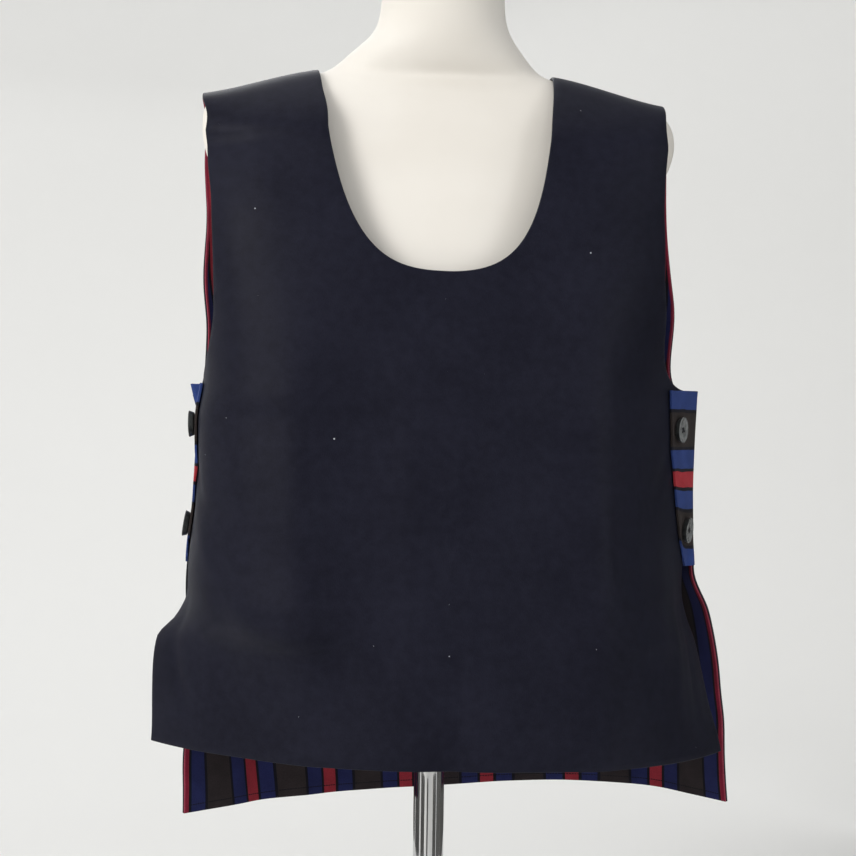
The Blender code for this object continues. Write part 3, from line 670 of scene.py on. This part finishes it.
def makeTab(name, side):
    middle, normal = tabGrid(side)
    t = tab
    rows, columns = middle.shape[:2]
    steps = np.linalg.norm(np.diff(middle, axis=1), axis=-1)
    far = np.concatenate([np.zeros((rows, 1)), np.cumsum(steps, axis=1)], axis=1)
    fromTop = t["top"] - np.linspace(t["top"], t["bottom"], rows)
    fromTop = fromTop[:, None] * np.ones((1, columns))
    whole = far[:, -1:]
    edge = np.minimum(far, whole - far + t["sewnFar"])
    edge = np.minimum(edge, np.minimum(fromTop, fromTop[-1, 0] - fromTop))
    soft = np.clip(edge / t["rippleFade"], 0.0, 1.0)
    turn = 2 * math.pi
    wave = np.sin(fromTop * turn / t["rippleDown"] + far * t["rippleDrift"])
    wave = wave * np.sin(far * turn / t["rippleAlong"] + side)
    off = (far - t["creaseAt"] - t["creaseLean"] * fromTop) / t["creaseWide"]
    stand = t["ripple"] * (wave + np.exp(-(off**2))) * soft
    points = (middle + normal * stand[..., None]).reshape(-1, 3)
    place = np.stack([far, fromTop, edge], axis=-1).reshape(-1, 3)
    starts = [i * columns + j for i in range(rows - 1) for j in range(columns - 1)]
    faces = [(a, a + columns, a + columns + 1, a + 1)[::int(side)] for a in starts]
    thing = clothPiece(name, points, faces, place, t["wall"])
    corner = middle[:-1, :-1]
    cells = np.cross(middle[1:, :-1] - corner, middle[:-1, 1:] - corner)
    area = float(np.linalg.norm(cells, axis=-1).sum())
    return thing, middle, normal, (float(whole.max()), float(fromTop[-1, 0])), area


tabs = {}
for word, side in (("right", -1.0), ("left", 1.0)):
    tabs[word] = makeTab(word + "TabCloth", side)
print("tabs hung")


# Buttons: round, flat rim, sunk face with four holes and the thread that sews them on

button = {
    "radius": 0.011,
    "high": 0.0044,
    "rimWide": 0.0021,
    "sunk": 0.0008,
    "dishSlope": 0.45,  # rings inside the rim, as shares of its width
    "dishFloor": 0.9,
    "faceAbove": 0.55,  # the share of its height above which its upper side has the face's colour
    "edgeRound": 0.0018,
    "footShare": 0.84,
    "around": 48,
    "holeRadius": 0.00095,
    "holeOut": 0.0021,
    "gap": 0.0004,
    "underShare": 0.85,  # of its radius, within which the cloth may touch it
    "threadRadius": 0.0003,
    "threadLong": 2.15,  # times the way from the middle to a hole
    "threadApart": 0.00028,
    "threadLift": 0.00026,
    "threadCross": 0.0005,
    "upper": (0.033, 0.0145),  # below the tab's top edge, and in from its buttoned edge
    "lower": (0.1185, 0.0195),
}


def modelButton():
    b = button
    body = b["high"]
    thing = newCylinder("buttonPattern", b["around"], b["radius"], body, (0, 0, body / 2))
    pickFaces(thing, lambda face: face.center.z > body * 0.9 and face.normal.z > 0.9)
    bpy.ops.mesh.inset(thickness=b["rimWide"])
    bpy.ops.mesh.inset(thickness=b["rimWide"] * b["dishSlope"])
    bpy.ops.transform.translate(value=(0, 0, -b["sunk"]))
    bpy.ops.mesh.inset(thickness=b["rimWide"] * b["dishFloor"])
    pickFaces(thing, lambda face: face.normal.z < -0.9)
    share = b["footShare"]
    bpy.ops.transform.resize(value=(share, share, 1.0), center_override=(0, 0, 0))
    bpy.ops.object.mode_set(mode="OBJECT")
    roundEdges(thing, b["edgeRound"], 3, 35)
    for k in range(4):
        angle = math.pi / 4 + k * math.pi / 2
        spot = (b["holeOut"] * math.cos(angle), b["holeOut"] * math.sin(angle), body / 2)
        cutter = newCylinder("holeCutter", 16, b["holeRadius"], body * 3, spot)
        hole = thing.modifiers.new("hole", "BOOLEAN")
        hole.operation = "DIFFERENCE"
        hole.object = cutter
        applyAll(thing)
        bpy.data.objects.remove(cutter)
    shadeSmooth(32)
    return thing


def modelThread():
    # two pairs of strands, the second pair crossing over the first
    b = button
    strands = []
    for k in range(4):
        strand = newCylinder("strand", 10, b["threadRadius"], b["holeOut"] * b["threadLong"])
        high = b["high"] - b["sunk"] + b["threadLift"] + (b["threadCross"] if k > 1 else 0.0)
        turned = Matrix.Rotation(math.pi / 4 if k < 2 else -math.pi / 4, 4, "Z")
        aside = Matrix.Translation((0, b["threadApart"] * (1 if k % 2 else -1), 0))
        laid = aside @ Matrix.Rotation(math.pi / 2, 4, "Y")
        strand.data.transform(Matrix.Translation((0, 0, high)) @ turned @ laid)
        strands.append(strand)
    for strand in strands:
        strand.select_set(True)
    bpy.context.view_layer.objects.active = strands[0]
    bpy.ops.object.join()
    bpy.context.object.name = "threadPattern"
    shadeSmooth(60)
    return bpy.context.object


def buttonSeat(middle, normal, spot):
    drop, edgeIn = button[spot]
    last = middle.shape[0] - 1
    row = drop / (tab["top"] - tab["bottom"]) * last
    upper = min(int(row), last - 1)
    line, faces = (
        grid[upper] + (grid[upper + 1] - grid[upper]) * (row - upper) for grid in (middle, normal)
    )
    far = np.concatenate([[0.0], np.cumsum(np.linalg.norm(np.diff(line, axis=0), axis=1))])
    place, axis = (
        np.array([np.interp(edgeIn, far, track[:, k]) for k in range(3)]) for track in (line, faces)
    )
    axis /= np.linalg.norm(axis)
    # the button clears the highest cloth under it
    span = (button["radius"] * button["underShare"]) ** 2
    close = [point for point in line if np.sum((point - place) ** 2) < span]
    lift = max([float(np.dot(point - place, axis)) for point in close] + [0.0])
    return Vector(place + axis * (tab["wall"] / 2 + button["gap"] + lift)), Vector(axis)


def placeCopy(pattern, name, place, axis, spin):
    thing = newThing(name, pattern.data.copy())
    thing.data.name = name
    right = Vector((0, 0, 1)).cross(axis).normalized()
    up = axis.cross(right)
    turned = Matrix((right, up, axis)).transposed().to_4x4()
    thing.data.transform(Matrix.Translation(place) @ turned @ Matrix.Rotation(spin, 4, "Z"))
    return thing


buttonPattern = modelButton()
threadPattern = modelThread()
buttons = {}
spins = {"right_upper": 0.3, "right_lower": -0.5, "left_upper": 0.15, "left_lower": 0.6}
for key, spin in spins.items():
    word, spot = key.split("_")
    seat = buttonSeat(*tabs[word][1:3], spot)
    name = word + spot.capitalize()
    shell = placeCopy(buttonPattern, name + "Button", *seat, spin)
    thread = placeCopy(threadPattern, name + "Thread", *seat, spin)
    buttons[key] = (shell, thread, seat)
bpy.data.objects.remove(buttonPattern)
bpy.data.objects.remove(threadPattern)
print("buttons sewn on")


# Stand: the form's cover smoothed from its solid, a drawn pole and a turned base

stand = {
    "poleRadius": 0.013,
    "poleAround": 96,
    "poleRound": 0.0006,
    "baseRadius": 0.145,
    "baseThick": 0.009,
    "baseAround": 128,
    "collarRadius": 0.026,
    "collarHigh": 0.03,
    "baseRound": 0.0022,
}

form = {
    "merge": 0.0001,
    "rim": 0.0005,  # how near its top and bottom caps an edge counts as theirs
    "rimCrease": 0.9,
    "neckFoot": (0.884, 0.02),  # where the neck meets the shoulders, and how far it is smoothed
    "smoothing": 60,
}


def makeForm():
    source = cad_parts["dress_form"]
    thing = newThing("formCover", source.data.copy())
    pickOnly(thing)
    bpy.ops.object.mode_set(mode="EDIT")
    bpy.ops.mesh.select_all(action="SELECT")
    bpy.ops.mesh.remove_doubles(threshold=form["merge"])
    wide, skew = math.radians(60), math.radians(80)
    bpy.ops.mesh.tris_convert_to_quads(face_threshold=wide, shape_threshold=skew)
    bpy.ops.mesh.select_all(action="DESELECT")
    bpy.ops.object.mode_set(mode="OBJECT")
    low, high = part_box("dress_form")
    top, bottom = high.z - form["rim"], low.z + form["rim"]
    creases = thing.data.attributes.new("crease_edge", "FLOAT", "EDGE")
    for edge in thing.data.edges:
        ends = [thing.data.vertices[k].co.z for k in edge.vertices]
        if min(ends) > top or max(ends) < bottom:
            creases.data[edge.index].value = form["rimCrease"]
    smooth = thing.modifiers.new("smooth", "SUBSURF")
    smooth.levels = 2
    smooth.render_levels = 2
    applyAll(thing)
    # the neck flows into the shoulders with no line
    neckFoot = thing.vertex_groups.new(name="neckFoot")
    footZ, footWide = form["neckFoot"]
    for vertex in thing.data.vertices:
        near = math.exp(-(((vertex.co.z - footZ) / footWide) ** 2))
        if near > 0.01:
            neckFoot.add([vertex.index], near, "REPLACE")
    blend = thing.modifiers.new("blend", "SMOOTH")
    blend.vertex_group = "neckFoot"
    blend.factor = 0.5
    blend.iterations = form["smoothing"]
    applyAll(thing)
    shadeSmooth(50)
    return thing


def makePole():
    low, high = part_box("pole")
    place = (0, 0, (high.z + low.z) / 2)
    thing = newCylinder("chromePole", stand["poleAround"], stand["poleRadius"], high.z - low.z, place)
    roundEdges(thing, stand["poleRound"], 2, 30)
    shadeSmooth(40)
    return thing


def makeBase():
    s = stand
    thick = s["baseThick"]
    thing = newCylinder("chromeBase", s["baseAround"], s["baseRadius"], thick, (0, 0, thick / 2))
    pickFaces(thing, lambda face: face.center.z > thick * 0.5 and face.normal.z > 0.9)
    bpy.ops.mesh.inset(thickness=s["baseRadius"] - s["collarRadius"])
    bpy.ops.mesh.extrude_region_move(TRANSFORM_OT_translate={"value": (0, 0, s["collarHigh"])})
    bpy.ops.mesh.select_all(action="DESELECT")
    bpy.ops.object.mode_set(mode="OBJECT")
    roundEdges(thing, s["baseRound"], 4, 40)
    shadeSmooth(40)
    return thing


formCover = makeForm()
chromePole = makePole()
chromeBase = makeBase()
print("stand made")


# Shared shader groups

class Wires:
    # the nodes of one material or one group, with short ways to add to them

    def __init__(self, tree):
        self.nodes = tree.nodes
        self.links = tree.links

    def add(self, kind):
        return self.nodes.new("ShaderNode" + kind)

    def feed(self, value, socket):
        # a number, a colour or another node's output
        if isinstance(value, (int, float)):
            socket.default_value = value
        elif isinstance(value, tuple):
            socket.default_value = (*value, 1.0)
        else:
            self.links.new(value, socket)

    def maths(self, operation, *values):
        node = self.add("Math")
        node.operation = operation
        for k, value in enumerate(values):
            self.feed(value, node.inputs[k])
        return node.outputs[0]

    def blend(self, *parts):
        # each value times its share, added up
        total = None
        for value, share in parts:
            scaled = self.maths("MULTIPLY", value, share)
            total = scaled if total is None else self.maths("ADD", total, scaled)
        return total

    def mix(self, factor, first, second):
        node = self.add("Mix")
        node.data_type = "RGBA"
        for k, value in ((0, factor), (6, first), (7, second)):
            self.feed(value, node.inputs[k])
        return node.outputs[2]

    def noise(self, vector, scale, detail, rough=0.5):
        node = self.add("TexNoise")
        for label, value in (("Scale", scale), ("Detail", detail), ("Roughness", rough)):
            node.inputs[label].default_value = value
        self.feed(vector, node.inputs["Vector"])
        return node.outputs["Fac"]

    def step(self, value, low, high, lowOut=0.0, highOut=1.0):
        node = self.add("MapRange")
        node.interpolation_type = "SMOOTHSTEP"
        self.feed(value, node.inputs["Value"])
        for k, limit in enumerate((low, high, lowOut, highOut)):
            node.inputs[k + 1].default_value = limit  # from and to, least and most
        return node.outputs["Result"]

    def split(self, vector):
        node = self.add("SeparateXYZ")
        self.feed(vector, node.inputs[0])
        return node.outputs

    def place(self, group, vector=None):
        node = self.add("Group")
        node.node_tree = group
        if vector is not None:
            self.feed(vector, node.inputs[0])
        return node

    def objectSpot(self):
        return self.add("TexCoord").outputs["Object"]

    def flatSpot(self):
        # the cloth's own flat place, split into its parts, and the same as a plane
        spot = self.add("Attribute")
        spot.attribute_type = "GEOMETRY"
        spot.attribute_name = "flat"
        parts = self.split(spot.outputs["Vector"])
        plane = self.add("CombineXYZ")
        for k in (0, 1):
            self.feed(parts[k], plane.inputs[k])
        return parts, plane.outputs[0]

    def paint(self, value, label="Base Color"):
        self.feed(value, self.nodes["Principled BSDF"].inputs[label])

    def bump(self, height, strength, distance):
        node = self.add("Bump")
        node.inputs["Strength"].default_value = strength
        node.inputs["Distance"].default_value = distance
        self.feed(height, node.inputs["Height"])
        self.paint(node.outputs["Normal"], "Normal")


def newGroup(name, inputs, outputs):
    group = bpy.data.node_groups.new(name, "ShaderNodeTree")
    for label, kind, value in inputs:
        socket = group.interface.new_socket(
            name=label, in_out="INPUT", socket_type="NodeSocket" + kind
        )
        if value is not None:
            socket.default_value = value
    for label, kind in outputs:
        group.interface.new_socket(name=label, in_out="OUTPUT", socket_type="NodeSocket" + kind)
    wires = Wires(group)
    entry = wires.nodes.new("NodeGroupInput").outputs
    leave = wires.nodes.new("NodeGroupOutput").inputs
    return group, wires, entry, leave


felt = {
    "broad": 14.0,  # scale of the noise, for each metre
    "middle": 120.0,
    "fibre": 1400.0,
    "fibreLie": (1.0, 0.35, 1.0),  # the fibres lie down the cloth
    "lintScale": 34.0,
    "lintSize": 0.026,
    "lintFew": 0.92,
}


def napGroup():
    # felted nap: soft mottling, short fibres and a few specks of lint
    group, wires, entry, leave = newGroup(
        "feltNap",
        [("Place", "Vector", None)],
        [("Mottle", "Float"), ("Height", "Float"), ("Lint", "Float")],
    )
    place = entry["Place"]
    broad = wires.noise(place, felt["broad"], 3.0)
    middle = wires.noise(place, felt["middle"], 4.0, 0.6)
    lengthwise = wires.add("VectorMath")
    lengthwise.operation = "MULTIPLY"
    lengthwise.inputs[1].default_value = felt["fibreLie"]
    wires.feed(place, lengthwise.inputs[0])
    fibre = wires.noise(lengthwise.outputs[0], felt["fibre"], 3.0, 0.7)
    wires.feed(wires.blend((broad, 0.35), (middle, 0.35), (fibre, 0.3)), leave["Mottle"])
    wires.feed(wires.blend((fibre, 0.7), (middle, 0.3)), leave["Height"])
    specks = wires.add("TexVoronoi")
    specks.voronoi_dimensions = "2D"
    specks.inputs["Scale"].default_value = felt["lintScale"]
    wires.feed(place, specks.inputs["Vector"])
    size = wires.add("SeparateColor")
    wires.feed(specks.outputs["Color"], size.inputs[0])
    reach = wires.maths("MULTIPLY", size.outputs[1], felt["lintSize"])
    small = wires.maths("LESS_THAN", specks.outputs["Distance"], reach)
    few = wires.maths("GREATER_THAN", size.outputs[0], felt["lintFew"])
    wires.feed(wires.maths("MULTIPLY", small, few), leave["Lint"])
    return group


blanket = {"rib": 0.0013, "thread": 900.0, "uneven": 60.0}


def twillGroup():
    # fine diagonal ribs of a woven blanket cloth, with the threads' own unevenness
    group, wires, entry, leave = newGroup(
        "blanketTwill",
        [("Place", "Vector", None), ("Rib", "Float", blanket["rib"])],
        [("Height", "Float"), ("Tone", "Float")],
    )
    place = entry["Place"]
    parts = wires.split(place)
    count = wires.maths("DIVIDE", wires.maths("ADD", parts[0], parts[1]), entry["Rib"])
    rib = wires.maths("SINE", wires.maths("MULTIPLY", count, 2 * math.pi))
    thread = wires.noise(place, blanket["thread"], 3.0, 0.6)
    uneven = wires.noise(place, blanket["uneven"], 3.0)
    wires.feed(wires.blend((rib, 0.35), (thread, 1.0)), leave["Height"])
    wires.feed(wires.blend((thread, 0.6), (uneven, 0.4)), leave["Tone"])
    return group


stripe = {
    "repeat": 0.0812,
    "red": 0.0125,
    "line": 0.0028,
    "blue": 0.015,
    "brown": 0.0275,
    "tabStretch": 1.045,  # the tab's stripes are this much wider
    "tabRedAt": 0.0752,  # and the red lies just below its middle
    "tabColours": {
        "red": (0.4, 0.036, 0.048),
        "blue": (0.03, 0.056, 0.2),
        "brown": (0.034, 0.027, 0.026),
        "line": (0.012, 0.012, 0.018),
    },
    # the lining's stripes are the tab's colours darkened: painted shade, for a lining seen in the
    # vest's own shadow
    "liningShadedColours": {
        "red": (0.27, 0.026, 0.04),
        "blue": (0.017, 0.021, 0.085),
        "brown": (0.028, 0.022, 0.024),
        "line": (0.008, 0.008, 0.013),
    },
}


def stripeGroup(name, colours):
    # colours across one repeat, counted from the left edge of the red
    s = stripe
    group, wires, entry, leave = newGroup(name, [("Across", "Float", 0.0)], [("Colour", "Color")])
    part = wires.maths("FRACT", wires.maths("DIVIDE", entry["Across"], s["repeat"]))
    ramp = wires.add("ValToRGB")
    ramp.color_ramp.interpolation = "CONSTANT"
    wires.feed(part, ramp.inputs["Fac"])
    at = 0.0
    stops = ramp.color_ramp.elements
    for k, band in enumerate(("red", "line", "blue", "line", "brown", "line", "blue", "line")):
        stop = stops[k] if k < 2 else stops.new(at / s["repeat"])
        stop.position = at / s["repeat"]
        stop.color = (*colours[band], 1.0)
        at += s[band]
    wires.feed(ramp.outputs["Color"], leave["Colour"])
    return group


nap = napGroup()
twill = twillGroup()
tabStripes = stripeGroup("tabStripe", stripe["tabColours"])
# the lining's stripes carry the darkened colours, which are painted shade
liningStripes = stripeGroup("liningStripe", stripe["liningShadedColours"])


def newMaterial(name, values):
    material = bpy.data.materials.new(name)
    material.use_nodes = True
    wires = Wires(material.node_tree)
    for label, value in values.items():
        wires.nodes["Principled BSDF"].inputs[label].default_value = value
    return material, wires


outer = {
    "dark": (0.0048, 0.005, 0.0112),
    "light": (0.012, 0.0125, 0.0236),
    "lint": (0.42, 0.43, 0.45),
    # painted highlight: the bound edges are drawn paler, as if the cut edge caught the light
    "paintedEdgeHighlight": (0.04, 0.044, 0.052),
    "edgeHighlightWide": 0.0011,
    "edgeHighlightShare": 0.55,
    "relief": (0.45, 0.0004),
    "surface": {
        "Roughness": 0.5,
        "Specular IOR Level": 0.085,
        "Sheen Weight": 0.016,
        "Sheen Roughness": 0.55,
        "Sheen Tint": (0.75, 0.8, 1.0, 1.0),
    },
}


def outerMaterial():
    o = outer
    material, wires = newMaterial("outerCloth", o["surface"])
    parts, plane = wires.flatSpot()
    cloth = wires.place(nap, plane).outputs
    tone = wires.step(cloth["Mottle"], 0.3, 0.7)
    colour = wires.mix(tone, o["dark"], o["light"])
    # a painted highlight down the neckline, armholes and sides, fading out within about a millimetre
    # of the edge
    edge = wires.step(parts[2], 0.0, o["edgeHighlightWide"], o["edgeHighlightShare"], 0.0)
    colour = wires.mix(edge, colour, o["paintedEdgeHighlight"])
    wires.paint(wires.mix(cloth["Lint"], colour, o["lint"]))
    wires.bump(cloth["Height"], *o["relief"])
    return material


striped = {
    "surface": {"Roughness": 0.9, "Specular IOR Level": 0.12, "Sheen Weight": 0.03},
    "tone": (0.72, 1.18),
    "relief": (0.5, 0.0003),
    "bindWide": 0.0046,  # down the sides
    "bindNarrow": 0.0026,  # round the armholes and the neck
    "bindGrows": 0.03,  # above and below the underarm
    "bindPaleEdge": (0.0006, 0.0016),  # it is paler at its very edge
    "bindColour": (0.21, 0.014, 0.036),
    "bindPale": (0.3, 0.05, 0.08),
    "stitchUp": 0.0062,
    "stitchHalf": 0.00042,
    "stitchStep": 0.0026,
    "stitchShare": 0.74,
    "stitchColour": (0.01, 0.01, 0.014),
    "liningFrom": 8.5,  # repeats from the centre line to where the stripes are counted from
    "liningStray": (7.0, 0.008),  # a stripe strays from straight: noise scale, and how far
    "tabStray": (42.0, 0.003),
}


def strayed(wires, plane, along, stray, start):
    # a place across the stripes, moved as the cloth was eased and pulled in the making
    scale, far = stray
    sway = wires.maths("MULTIPLY_ADD", wires.noise(plane, scale, 2.0), far, start - far / 2)
    return wires.maths("ADD", along, sway)


def stripedFinish(wires, colour, plane):
    # the weave's own tone and relief
    weave = wires.place(twill, plane).outputs
    scale = wires.add("VectorMath")
    scale.operation = "SCALE"
    wires.feed(colour, scale.inputs[0])
    wires.feed(wires.step(weave["Tone"], 0.3, 0.7, *striped["tone"]), scale.inputs["Scale"])
    wires.paint(scale.outputs[0])
    wires.bump(weave["Height"], *striped["relief"])


def liningMaterial():
    s = striped
    material, wires = newMaterial("stripedLining", s["surface"])
    (out, down, bind), plane = wires.flatSpot()
    band = wires.place(liningStripes)
    centred = s["liningFrom"] * stripe["repeat"] + stripe["red"] / 2
    wires.feed(strayed(wires, plane, out, s["liningStray"], centred), band.inputs["Across"])
    # a line of stitching holds the hem
    fromLine = wires.maths("SUBTRACT", down, backCut["hem"] - s["stitchUp"])
    onLine = wires.maths("LESS_THAN", wires.maths("ABSOLUTE", fromLine), s["stitchHalf"])
    step = wires.maths("FRACT", wires.maths("MULTIPLY", out, 1 / s["stitchStep"]))
    dash = wires.maths("LESS_THAN", step, s["stitchShare"])
    stitched = wires.maths("MULTIPLY", onLine, dash)
    colour = wires.mix(stitched, band.outputs["Colour"], s["stitchColour"])
    # the crimson binding round the neckline, the armholes and the sides
    bindColour = wires.mix(wires.step(bind, *s["bindPaleEdge"]), s["bindPale"], s["bindColour"])
    under, grows = backCut["underarm"], s["bindGrows"]
    wide = wires.step(down, under - grows, under + grows, s["bindNarrow"], s["bindWide"])
    colour = wires.mix(wires.maths("LESS_THAN", bind, wide), colour, bindColour)
    stripedFinish(wires, colour, plane)
    return material


def tabMaterial():
    material, wires = newMaterial("stripedTab", striped["surface"])
    (_, fromTop, _), plane = wires.flatSpot()
    band = wires.place(tabStripes)
    stretch = stripe["tabStretch"]
    start = stripe["red"] / 2 - stripe["tabRedAt"] / stretch + 2 * stripe["repeat"]
    level = wires.maths("DIVIDE", strayed(wires, plane, fromTop, striped["tabStray"], 0.0), stretch)
    wires.feed(wires.maths("ADD", level, start), band.inputs["Across"])
    stripedFinish(wires, band.outputs["Colour"], plane)
    return material


plain = {
    "formCover": {
        "colours": ((0.765, 0.728, 0.672), (0.8, 0.765, 0.712)),
        "cloud": (9.0, 3.0),
        "surface": {"Roughness": 0.62, "Specular IOR Level": 0.35},
        "knit": (1500.0, 2.0, 0.6),
        "relief": (0.15, 0.0002),
    },
    "buttonFace": {
        "colours": ((0.105, 0.11, 0.112), (0.21, 0.218, 0.22)),
        "cloud": (180.0, 3.0),
        "surface": {"Roughness": 0.22, "Coat Weight": 0.3},
    },
    "buttonRim": {
        "colours": ((0.018, 0.02, 0.021), (0.046, 0.05, 0.05)),
        "cloud": (220.0, 3.0),
        "surface": {"Roughness": 0.32},
    },
    "buttonThread": {
        "colours": ((0.01, 0.01, 0.014), (0.03, 0.03, 0.038)),
        "grain": (2400.0, 2.0),
        "surface": {"Roughness": 0.85},
    },
    "studioPaper": {
        "colours": ((0.79, 0.788, 0.776), (0.8137, 0.81164, 0.79928)),
        "grain": (1.5, 2.0),
        "surface": {"Roughness": 0.9, "Specular IOR Level": 0.1},
    },
    "flagCloth": {
        "colours": ((0.1, 0.099, 0.096), (0.15, 0.1485, 0.144)),
        "grain": (5.0, 2.0),
        "surface": {"Roughness": 0.95},
    },
}


def plainMaterial(name):
    # two near colours in soft clouds or in an even grain, and a knit's relief where there is one
    p = plain[name]
    material, wires = newMaterial(name, p["surface"])
    place = wires.objectSpot()
    if "cloud" in p:
        share = wires.step(wires.noise(place, *p["cloud"]), 0.35, 0.65)
    else:
        share = wires.noise(place, *p["grain"])
    wires.paint(wires.mix(share, *p["colours"]))
    if "knit" in p:
        wires.bump(wires.noise(place, *p["knit"]), *p["relief"])
    return material


chrome = {
    "colours": ((0.56, 0.56, 0.57), (0.66, 0.66, 0.66)),
    "drawn": (1.0, 1.0, 0.04),  # drawn out along the pole
    "grain": (260.0, 2.0),
    "handled": (30.0, 4.0),
    "tube": 0.07,
    "plate": 0.11,
    "dulled": (0.7, 1.8),  # where it was handled, times its roughness
}


def chromeMaterial(name, roughness):
    material, wires = newMaterial(name, {"Metallic": 1.0, "Roughness": roughness})
    place = wires.objectSpot()
    stretch = wires.add("Mapping")
    stretch.inputs["Scale"].default_value = chrome["drawn"]
    wires.feed(place, stretch.inputs["Vector"])
    drawn = wires.step(wires.noise(stretch.outputs[0], *chrome["grain"]), 0.3, 0.7)
    wires.paint(wires.mix(drawn, *chrome["colours"]))
    least, most = (roughness * share for share in chrome["dulled"])
    handled = wires.noise(place, *chrome["handled"])
    wires.paint(wires.step(handled, 0.35, 0.75, least, most), "Roughness")
    return material


def dress(thing, *materials):
    thing.data.materials.clear()
    for material in materials:
        thing.data.materials.append(material)


for things, material in (
    ((frontCloth, backCloth), outerMaterial()),
    ((liningCloth,), liningMaterial()),
    ((tabs["right"][0], tabs["left"][0]), tabMaterial()),
    ((formCover,), plainMaterial("formCover")),
    ((chromePole,), chromeMaterial("chromeTube", chrome["tube"])),
    ((chromeBase,), chromeMaterial("chromePlate", chrome["plate"])),
):
    for thing in things:
        dress(thing, material)
buttonRim, buttonFace, buttonThread = map(plainMaterial, ("buttonRim", "buttonFace", "buttonThread"))
for shell, thread, (place, axis) in buttons.values():
    dress(shell, buttonRim, buttonFace)
    dress(thread, buttonThread)
    for face in shell.data.polygons:
        raised = (face.center - place).dot(axis) > button["high"] * button["faceAbove"]
        face.material_index = 1 if raised and face.normal.dot(axis) > 0.45 else 0
print("materials placed")


# What each piece stands for, and the cloth's flat sizes

def standsFor(thing, node):
    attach(thing, "root")
    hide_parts(node)


panelWide = 2 * cut["sideOut"]
cloths = [
    (frontCloth, "front_panel", "outer_cloth", (panelWide, frontCut["hem"]), flatArea(frontFlat)),
    (backCloth, "back_outer", "outer_cloth", (panelWide, backCut["hem"]), flatArea(backFlat)),
    (liningCloth, "back_lining", "striped_cloth", (panelWide, backCut["hem"]), flatArea(backFlat)),
]
for word in ("right", "left"):
    thing, _, _, flat, area = tabs[word]
    cloths.append((thing, word + "_tab", "striped_cloth", flat, area))
for thing, node, slotName, flat, area in cloths:
    standsFor(thing, node)
for key, (shell, thread, seat) in buttons.items():
    standsFor(shell, key + "_button")
    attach(thread, "root")
standsFor(formCover, "dress_form")
standsFor(chromePole, "pole")
standsFor(chromeBase, "base")
print("pieces ride on the frame")


# Studio: a pale bowl floor, a large soft light from the viewer's left, and dark cards

studio = {
    "bowlRadius": 2.9,
    "bowlHigh": 3.2,
    "bowlBend": 1.1,
    "world": (0.8, 0.82, 0.85),
    "worldStrength": 0.42,
}


def makeBowl():
    s = studio
    bpy.ops.object.select_all(action="DESELECT")
    bpy.ops.mesh.primitive_circle_add(
        vertices=128, radius=s["bowlRadius"], fill_type="NGON", location=(0, 0, -0.0002)
    )
    thing = settled("studioBowl")
    bpy.ops.object.mode_set(mode="EDIT")
    bpy.ops.mesh.select_all(action="SELECT")
    bpy.ops.mesh.region_to_loop()
    bpy.ops.mesh.extrude_edges_move(TRANSFORM_OT_translate={"value": (0, 0, s["bowlHigh"])})
    bpy.ops.object.mode_set(mode="OBJECT")
    roundEdges(thing, s["bowlBend"], 14, 50)
    shadeSmooth(60)
    thing.data.materials.append(plainMaterial("studioPaper"))


def addLight(name, place, aim, size, power, colour):
    data = bpy.data.lights.new(name, "AREA")
    data.shape = "RECTANGLE"
    data.size, data.size_y = size
    data.energy = power
    data.color = colour
    thing = newThing(name, data)
    thing.location = place
    thing.rotation_euler = (Vector(aim) - Vector(place)).to_track_quat("-Z", "Y").to_euler()


flags = {
    "radius": 1.15,
    "high": 0.34,
    # each one's place in degrees to the viewer's right of the camera's side, and its width
    "places": (
        (-150, 0.9),
        (-98, 0.95),
        (-50, 0.6),
        (-14, 0.2),
        (38, 0.5),
        (76, 0.9),
        (150, 0.6),
    ),
    # a tall one holds light off the right-hand side: its angle, distance, width and height
    "tall": (112, 1.05, 1.2, 1.6),
}


def makeFlags():
    # dark cards round the set are mirrored in the chrome and hidden from the camera itself
    material = plainMaterial("flagCloth")
    cards = [(turn, flags["radius"], wide, flags["high"]) for turn, wide in flags["places"]]
    for k, (turn, radius, wide, high) in enumerate([*cards, flags["tall"]]):
        angle = math.radians(turn)
        bpy.ops.object.select_all(action="DESELECT")
        bpy.ops.mesh.primitive_plane_add(
            size=1.0,
            location=(math.sin(angle) * radius, -math.cos(angle) * radius, high / 2),
            rotation=(math.pi / 2, 0, angle),
        )
        bpy.context.object.scale = (wide, high, 1.0)
        card = settled("darkFlag" + str(k + 1))
        card.data.materials.append(material)
        card.visible_camera = False
        card.visible_shadow = False
        card.visible_diffuse = turn == flags["tall"][0]


def setWorld():
    world = bpy.data.worlds.new("softRoom")
    bpy.context.scene.world = world
    world.use_nodes = True
    back = world.node_tree.nodes["Background"]
    back.inputs["Color"].default_value = (*studio["world"], 1.0)
    back.inputs["Strength"].default_value = studio["worldStrength"]


makeBowl()
makeFlags()
setWorld()
for lamp in (
    ("windowLight", (-1.85, -1.6, 1.5), (0, 0, 0.65), (0.9, 1.5), 38.0, (1.0, 0.985, 0.96)),
    ("ceilingLight", (-0.3, -0.2, 2.9), (0, 0, 0.4), (2.2, 2.2), 15.0, (1.0, 0.99, 0.97)),
    ("fillLight", (1.95, -1.75, 0.9), (0, 0, 0.6), (0.45, 1.4), 10.0, (0.95, 0.97, 1.0)),
    ("wallLight", (-0.5, 0.9, 2.6), (-0.6, 2.9, 0.7), (2.0, 0.8), 10.0, (1.0, 1.0, 1.0)),
    ("backLight", (-0.4, 2.3, 2.2), (0, 0, 0.6), (1.4, 1.2), 15.0, (1.0, 1.0, 1.0)),
):
    addLight(*lamp)
bpy.context.scene.view_settings.view_transform = "Standard"
bpy.context.scene.view_settings.look = "None"
print("studio lit")
